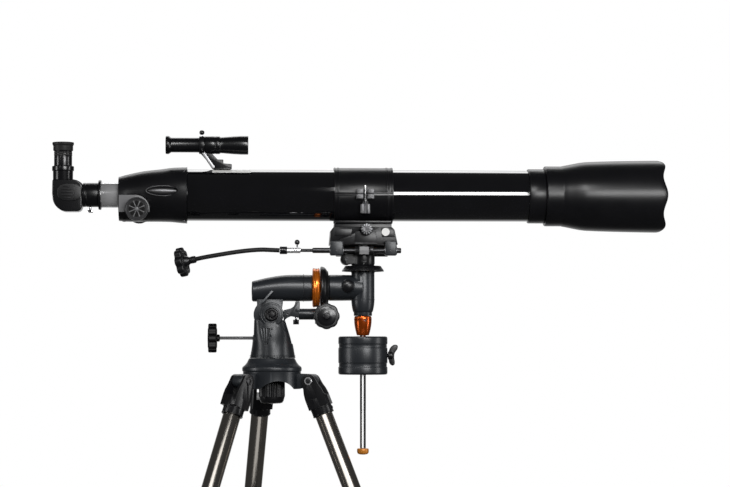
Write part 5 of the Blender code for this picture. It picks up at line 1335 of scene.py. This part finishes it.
def tripod_hub():
    skirt_r, wall, depth, bore = 0.0535, 0.006, 0.0551, 0.0062
    at = Vector((PIER_X, SIDE_Y, HUB_TOP_Z))
    hub = turned([
        (bore, 0), (0.0404, 0), (0.0414, -0.0008), (0.0425, -0.0030), (0.0446, -0.0074),
        (0.0480, -0.0118), (0.0522, -0.0152), (skirt_r, -0.0172), (skirt_r, -0.0218),
        (skirt_r - 0.0006, -0.0232), (skirt_r - 0.0015, -0.0240), (skirt_r - 0.0015, -depth),
        (skirt_r - wall, -depth), (skirt_r - wall, -0.0180), (0.0380, -0.0130), (bore, -0.0130)],
        at, Z, GUNMETAL, 128, ring=True)
    arch_r, arch_z, half, lug_r = 0.0412, PIVOT_Z - 0.0412, 0.0125, 0.0125
    arches, lugs, pins = [], [], []
    for azimuth in LEG_AZIMUTHS:
        between = radial_frame(azimuth + math.radians(60), 0.020, arch_z)
        arches.append(cylinder(arch_r, 0, 0.06, between.translation, direction(between, X), steps=72,
                               ease=0))
        outline = arc((LEG_PIVOT_R, 0), lug_r, -90, 90, 24) + [(0.043, 0.0135), (0.043, -0.0140)]
        upright = radial_frame(azimuth, 0, PIVOT_Z) @ UPRIGHT
        lugs.append(plate(outline, 2 * half, upright, GUNMETAL, 0.0010))
        pin = radial_frame(azimuth, LEG_PIVOT_R, PIVOT_Z)
        pins.append(cylinder(0.0042, -0.0190, 0.0190, pin.translation, direction(pin, Y), DARK_STEEL, 40))
    cut(hub, *arches)
    soften(hub, 0.0008, 2, 40)
    piece("tripod_hub", hub, *lugs, *pins)


def azimuth_lock_knob():
    at = (PIER_X, SIDE_Y, PIVOT_Z)
    knob_r = 0.0234
    body = turned([
        (0, 0.0010), (knob_r - 0.0030, 0.0010), (knob_r - 0.0012, -0.0002), (knob_r - 0.0008, -0.0024),
        (knob_r - 0.0008, -0.0300), (0.0210, -0.0360), (0.0190, -0.0390), (0.0150, -0.0404),
        (0, -0.0412)], at, Z, PLASTIC, 96)
    neck = turned([(0, 0.0270), (0.0112, 0.0270), (0.0120, 0.0262), (0.0120, 0.0030), (0.0140, 0.0008),
                   (0, 0.0008)], at, Z, PLASTIC, 64)
    stud = thread(0.0058, 0.0262, 0.0520, at, Z, CHROME, 0.0014, 0.0003, 32)
    grip = knurled(knob_r, -0.0290, -0.0030, at, Z, PLASTIC, 36, 0.0009)
    piece("azimuth_lock_knob", body, neck, stud, grip)


def tripod_legs():
    for number, azimuth in enumerate(LEG_AZIMUTHS, 1):
        for build in (leg_bracket, leg_tube, leg_clamp, lower_leg, brace_arm):
            build(number, leg_frame(azimuth))


def leg_bracket(number, leg):
    half, slot, socket_r = 0.0185, 0.0129, 0.0190
    outline = arc((0, 0), 0.0125, 0, 180, 24) + [
        (-0.0140, -0.0100), (-0.0168, -0.0200), (-socket_r + 0.001, -0.030), (-socket_r + 0.001, -0.050),
        (socket_r - 0.001, -0.050), (socket_r - 0.001, -0.030), (0.0168, -0.0200), (0.0140, -0.0100)]
    origin, outward, across, up = leg.translation, *(direction(leg, axis) for axis in (X, Y, Z))
    body = plate(outline, 2 * half, leg @ UPRIGHT, SATIN, 0)
    socket = cylinder(socket_r, -0.0645, -0.034, origin, up, SATIN, 72, 0)
    fork = block((-0.03, -slot, -0.031), (0.03, slot, 0.03), bevel=0, matrix=leg)
    bore = cylinder(LEG_TUBE_R + 2 * GAP, -0.09, -0.042, origin, up, steps=56)
    hole = cylinder(0.0046, -0.03, 0.03, origin, across, steps=32)
    fuse(body, socket)
    cut(body, fork, bore, hole)
    soften(body, 0.0010, 2, 35)
    rings = [bead(0.0194, 0.0002, z, 0.0012, 0.0185, origin, up, SATIN, 72) for z in (-0.0510, -0.0628)]
    head = turned([(0.0052, 0.0016), (0.0064, 0.0016), (0.0070, 0.0008), (0.0070, -0.0004),
                   (0.0048, -0.0004), (0.0048, 0.0016)], origin - across * half, -across, BRIGHT, 64,
                  ring=True, ease=0.0002)
    nut = turned([(0.0062, 0.0016), (0.0072, 0.0010), (0.0072, -0.0004), (0.0048, -0.0004),
                  (0.0048, 0.0016)], origin + across * half, across, DARK_STEEL, 6, ring=True,
                 ease=0.0002)
    screw = socket_screw(origin - up * 0.0570 + outward * (socket_r - 0.0004), outward, 0.0030, 0.0016)
    piece(f"leg_bracket_{number}", body, screw, head, nut, *rings, sharp=28)


def leg_tube(number, leg):
    inner = LEG_TUBE_R - 0.0012
    shaft = sleeve(LEG_TUBE_R, inner, -0.0425, -LEG_TUBE_END, Vector(), Z, STAINLESS, 112)
    outline = [(-inner - 0.0004, -BRACE_ALONG + 0.009), (-inner - 0.0004, -BRACE_ALONG - 0.009)]
    outline += arc((-BRACE_IN, -BRACE_ALONG), 0.006, 270, 90, 20)
    tab = plate(outline, 0.0040, UPRIGHT, SATIN_ALUMINIUM_AND_HIGHLIGHT, 0.0004)
    cut(tab, cylinder(0.0029, -0.01, 0.01, (-BRACE_IN, 0, -BRACE_ALONG), Y, steps=32))
    band = sleeve(LEG_TUBE_R + 0.0006, LEG_TUBE_R - 0.0002, -BRACE_ALONG + 0.010, -BRACE_ALONG - 0.010,
                  Vector(), Z, SATIN, 112, 0.0002)
    piece(f"leg_tube_{number}", *moved(leg, shaft, tab, band), place=leg)


def leg_clamp(number, leg):
    end, tail = -LEG_TUBE_END, -LEG_TUBE_END - 0.026
    collar = turned([
        (0.0182, end + 0.0280), (0.0190, end + 0.0274), (0.0204, end + 0.0250), (0.0214, end + 0.0222),
        (0.0218, end + 0.0190), (0.0218, end - 0.0150), (0.0212, end - 0.0190), (0.0200, end - 0.0230),
        (0.0185, tail), (LOWER_TUBE_R + GAP, tail), (LOWER_TUBE_R + GAP, end - 0.0015),
        (LEG_TUBE_R + GAP, end - 0.0015), (LEG_TUBE_R + GAP, end + 0.0280)], Vector(), Z, SATIN, 96,
        ring=True)
    boss = cylinder(0.0080, 0.0195, 0.0270, (0, 0, end - 0.010), X, SATIN, 56, 0.0006)
    fuse(collar, boss)
    cut(collar, cylinder(0.0034, 0.005, 0.04, (0, 0, end - 0.010), X, steps=32))
    rings = [bead(0.0220, 0.0002, end + z, 0.0012, 0.0212, Vector(), Z, SATIN, 96)
             for z in (0.0180, 0.0140, -0.0005)]
    # A flat black strip standing for the clamp's slot: painted shade in the gap.
    slot = block((-0.0223, -0.0010, end - 0.014), (-0.0205, 0.0010, end + 0.020), FLAT_BLACK_AND_SHADE, 0)
    piece(f"leg_clamp_{number}", *moved(leg, collar, slot, *rings))

    at = Matrix.Translation((0, 0, end - 0.010)) @ facing((0, 0, 0), X)
    reach = LOWER_TUBE_R + 2 * GAP
    stud = thread(0.0031, reach, 0.0290, Vector(), Z, CHROME, 0.0010, 0.0003, 24)
    head = turned([(0, 0.0450), (0.0084, 0.0450), (0.0098, 0.0442), (0.0104, 0.0430), (0.0104, 0.0330),
                   (0.0080, 0.0304), (0.0080, 0.0280), (0.0074, 0.0273), (0, 0.0273)], Vector(), Z,
                  PLASTIC, 64)
    lobes = plate(scalloped(0.0120, 0.0018, 6), 0.0100, Matrix.Translation((0, 0, 0.0380)), PLASTIC, 0)
    soften(lobes, 0.0014, 3, 45)
    piece(f"leg_lock_screw_{number}", *moved(leg @ at, stud, head, lobes))


def lower_leg(number, leg):
    inner, top, foot_r = LOWER_TUBE_R - 0.0011, -0.185, 0.0185
    reach = PIVOT_Z / math.cos(LEG_TILT)
    tube = sleeve(LOWER_TUBE_R, inner, top, -reach + 0.030, Vector(), Z, STAINLESS)
    foot = turned([(0, -reach + 0.046), (LOWER_TUBE_R + 0.0012, -reach + 0.046),
                   (LOWER_TUBE_R + 0.0020, -reach + 0.044), (0.0166, -reach + 0.041),
                   (foot_r - 0.0006, -reach + 0.038), (foot_r, -reach + 0.035), (foot_r, -reach - 0.015),
                   (0, -reach - 0.015)], Vector(), Z, RUBBER, 80)
    sole = Matrix.Translation(leg_frame(0) @ Vector((0, 0, -reach)))
    floor = block((-0.1, -0.1, -0.1), (0.1, 0.1, 0), bevel=0, matrix=leg_frame(0).inverted() @ sole)
    cut(foot, floor)
    treads = [bead(foot_r + 0.0002, 0.0002, -reach + z, 0.0016, foot_r - 0.0006, Vector(), Z, RUBBER, 80)
              for z in (0.032, 0.028, 0.024, 0.020, 0.016, 0.012)]
    piece(f"lower_leg_{number}", *moved(leg, tube, foot, *treads))


def brace_tab_place():
    """The brace pivot on a leg: its distance from the pier's axis and its height."""
    radius = LEG_PIVOT_R + BRACE_ALONG * math.sin(LEG_TILT) - BRACE_IN * math.cos(LEG_TILT)
    height = PIVOT_Z - BRACE_ALONG * math.cos(LEG_TILT) - BRACE_IN * math.sin(LEG_TILT)
    return radius, height


def brace_hub_height():
    radius, height = brace_tab_place()
    return height + (radius - BRACE_HUB_R) * math.tan(BRACE_SLOPE)


def brace_arm(number, leg):
    length = (brace_tab_place()[0] - BRACE_HUB_R) / math.cos(BRACE_SLOPE)
    half, offset, thick = 0.0060, 0.0040, 0.0030
    upright = Matrix.Translation((0, offset, 0)) @ UPRIGHT
    outline = arc((0, 0), half, -90, 90, 20) + arc((-length, 0), half - 0.0012, 90, 270, 20)
    bar = plate(outline, thick, upright, SATIN, 0)
    cut(bar, cylinder(0.0022, -0.01, 0.01, (-length, 0, 0), Y, steps=32))
    soften(bar, 0.0005, 2, 40)
    rib = plate([(-length + 0.012, -0.0016), (-0.012, -0.0022), (-0.012, 0.0022),
                 (-length + 0.012, 0.0016)], 0.0010, upright @ Matrix.Translation((0, 0, -0.0018)),
                SATIN, 0.0003)
    pin = cylinder(0.0026, -0.0050, 0.0040, (0, 0, 0), Y, CHROME, 32)
    tab = Matrix.Translation((-BRACE_IN, 0, -BRACE_ALONG))
    level = Matrix.Rotation(LEG_TILT + BRACE_SLOPE, 4, "Y")
    piece(f"brace_arm_{number}", *moved(leg @ tab @ level, bar, rib, pin))


def brace_hub_and_tray():
    z = brace_hub_height()
    at = (PIER_X, SIDE_Y, z)
    core = turned([(0, 0.0200), (0.0142, 0.0200), (0.0150, 0.0192), (0.0150, -0.0060), (0.0130, -0.0090),
                   (0, -0.0090)], at, Z, SATIN, 72)
    ears = []
    for azimuth in LEG_AZIMUTHS:
        outline = arc((BRACE_HUB_R, 0), 0.0060, -90, 90, 20) + [(0.010, 0.0060), (0.010, -0.0060)]
        for side in (0.0080, 0.0000):
            upright = radial_frame(azimuth, 0, z) @ Matrix.Translation((0, side, 0)) @ UPRIGHT
            ears.append(plate(outline, 0.0030, upright, SATIN, 0.0004))
    screw = socket_screw((PIER_X, SIDE_Y, z - 0.0090), -Z, 0.0060, 0.0012)
    piece("brace_hub", core, screw, *ears)
    waist, lobe, thick = 0.070, 0.026, 0.0050
    level = radial_frame(LEG_AZIMUTHS[0] + math.radians(60), 0, z + 0.0203 + thick / 2)
    outline = []
    for i in range(192):
        angle = 2 * math.pi * i / 192
        radius = waist + lobe * math.cos(3 * angle)
        outline.append((radius * math.cos(angle), radius * math.sin(angle)))
    tray = plate(outline, thick, level, SATIN, 0)
    holes = []
    for k in range(3):
        angle = math.radians(120 * k)
        spot = level @ Vector((0.055 * math.cos(angle), 0.055 * math.sin(angle), 0))
        holes.append(cylinder(0.0165, 0.0010, 0.01, spot, Z, steps=64, ease=0))
    cut(tray, *holes)
    soften(tray, 0.0011, 3, 50)
    piece("accessory_tray", tray)


# ---- floor and light ----------------------------------------------------
def softbox(name, center, target, width, height, power):
    data = bpy.data.lights.new(name, "AREA")
    data.shape = "RECTANGLE"
    data.size, data.size_y = width, height
    data.energy = power
    light = bpy.data.objects.new(name, data)
    bpy.context.scene.collection.objects.link(light)
    light.location = center
    light.rotation_euler = (Vector(target) - Vector(center)).to_track_quat("-Z", "Y").to_euler()
    return light


def link_light(light, nodes, state):
    named = bpy.data.collections.new(light.name + "_pieces")
    for node in nodes:
        named.objects.link(bpy.data.objects[node + "_detail"])
        named.collection_objects[-1].light_linking.link_state = state
    light.light_linking.receiver_collection = named


def flag_off(light, *nodes):
    """Keeps a softbox's light off the named pieces, as a black flag would."""
    link_light(light, nodes, "EXCLUDE")


def keep_to(light, *nodes):
    """Lets a softbox light only the named pieces, as a snoot would."""
    link_light(light, nodes, "INCLUDE")


def backdrop():
    """White where the camera looks, bright behind the object and dark elsewhere in reflections."""
    ambient_glow = 0.05
    world = bpy.data.worlds.new("studio")
    bpy.context.scene.world = world
    world.use_nodes = True
    nodes, links = world.node_tree.nodes, world.node_tree.links
    nodes.clear()
    out = nodes.new("ShaderNodeOutputWorld")
    mix = nodes.new("ShaderNodeMixShader")
    seen, ambient = nodes.new("ShaderNodeBackground"), nodes.new("ShaderNodeBackground")
    where = nodes.new("ShaderNodeTexCoord")
    split = nodes.new("ShaderNodeSeparateXYZ")
    links.new(where.outputs["Generated"], split.inputs["Vector"])
    sideways = nodes.new("ShaderNodeMath")
    sideways.operation = "ABSOLUTE"
    links.new(split.outputs["X"], sideways.inputs[0])
    window = map_range(world.node_tree, sideways.outputs["Value"], 0.9, 0.25, 0.20, 0.50)
    behind = map_range(world.node_tree, split.outputs["Y"], ambient_glow, 0.9, 0.66, 0.98)
    links.new(window.outputs["Result"], behind.inputs["To Max"])
    links.new(behind.outputs["Result"], ambient.inputs["Strength"])
    path = nodes.new("ShaderNodeLightPath")
    links.new(path.outputs["Is Camera Ray"], mix.inputs["Fac"])
    links.new(ambient.outputs["Background"], mix.inputs[1])
    links.new(seen.outputs["Background"], mix.inputs[2])
    links.new(mix.outputs["Shader"], out.inputs["Surface"])
    for background in (seen, ambient):
        background.inputs["Color"].default_value = (1, 1, 1, 1)


def studio():
    floor = finish("pale_floor", (0.80, 0.80, 0.80), 0.55, grain=300, relief=0.02, mottle=0.02)
    mesh = bpy.data.meshes.new("floor")
    half, near, far = 1.6, -0.45, 2.4
    mesh.from_pydata([(-half, near, 0), (half, near, 0), (half, far, 0), (-half, far, 0)], [],
                     [(0, 1, 2, 3)])
    ground = keep("floor", mesh, Matrix.Translation((0, 0, -0.0005)), floor)
    ground.visible_glossy = False
    middle = from_tube(0, 0.2)
    metals = ("leg_tube_1", "leg_tube_2", "leg_tube_3", "counterweight_bar", "latitude_screw")
    lights = [
        softbox("left_softbox", (-1.95, SIDE_Y - 2.5, 2.10), middle, 0.60, 0.80, 7),
        softbox("middle_softbox", (0.08, SIDE_Y - 2.7, 2.35), middle, 0.26, 0.80, 24),
        softbox("right_softbox", (0.90, SIDE_Y - 3.0, 1.50), middle, 1.42, 0.70, 54),
        softbox("overhead", (0, SIDE_Y + 2.3, 3.2), middle, 3.0, 1.2, 26),
        softbox("left_strip", (-2.6, SIDE_Y - 0.8, 1.0), middle, 0.5, 1.8, 22),
        softbox("right_strip", (2.6, SIDE_Y - 0.8, 1.0), middle, 0.5, 1.8, 22)]
    for light in lights:
        flag_off(light, *metals)
    legs = softbox("leg_softbox", (-0.25, SIDE_Y - 2.4, 0.90), from_tube(-0.1, 0.40), 2.6, 2.0, 30)
    keep_to(legs, *metals)
    high = softbox("front_leg_softbox", (-0.20, SIDE_Y - 2.4, 2.10), from_tube(-0.2, 0.45), 1.6, 1.0, 9)
    keep_to(high, *metals[:3])
    low = softbox("rear_leg_softbox", (-0.25, SIDE_Y - 0.95, 0.03), from_tube(-0.2, 0.45), 1.0, 0.9, 1.6)
    keep_to(low, *metals[:3])
    mount = softbox("mount_softbox", (-0.60, SIDE_Y - 2.2, 2.2), from_tube(-0.1, 0.25), 0.8, 0.5, 24)
    keep_to(mount, "polar_housing", "dec_housing", "counterweight", "tripod_hub",
            "ra_setting_circle", "bar_lock_collar", "ra_slow_motion", "dec_worm",
            "bar_end_cap", "ra_worm_bracket")
    backdrop()
    bpy.context.scene.view_settings.view_transform = "Standard"


# ---- build --------------------------------------------------------------
for build in (optical_tube, focuser_housing, focus_pinion, drawtube, star_diagonal, eyepiece,
              finder, ring_clamp, azimuth_base, latitude_bolt, latitude_screw, polar_housing,
              ra_worm_bracket, ra_slow_motion, ra_discs, dec_housing, dec_discs, dec_cover,
              dec_shaft, saddle, saddle_clamp_knob, dec_worm, cable_knob, counterweight_parts,
              tripod_hub, azimuth_lock_knob, tripod_legs, brace_hub_and_tray, add_cable, studio):
    build()
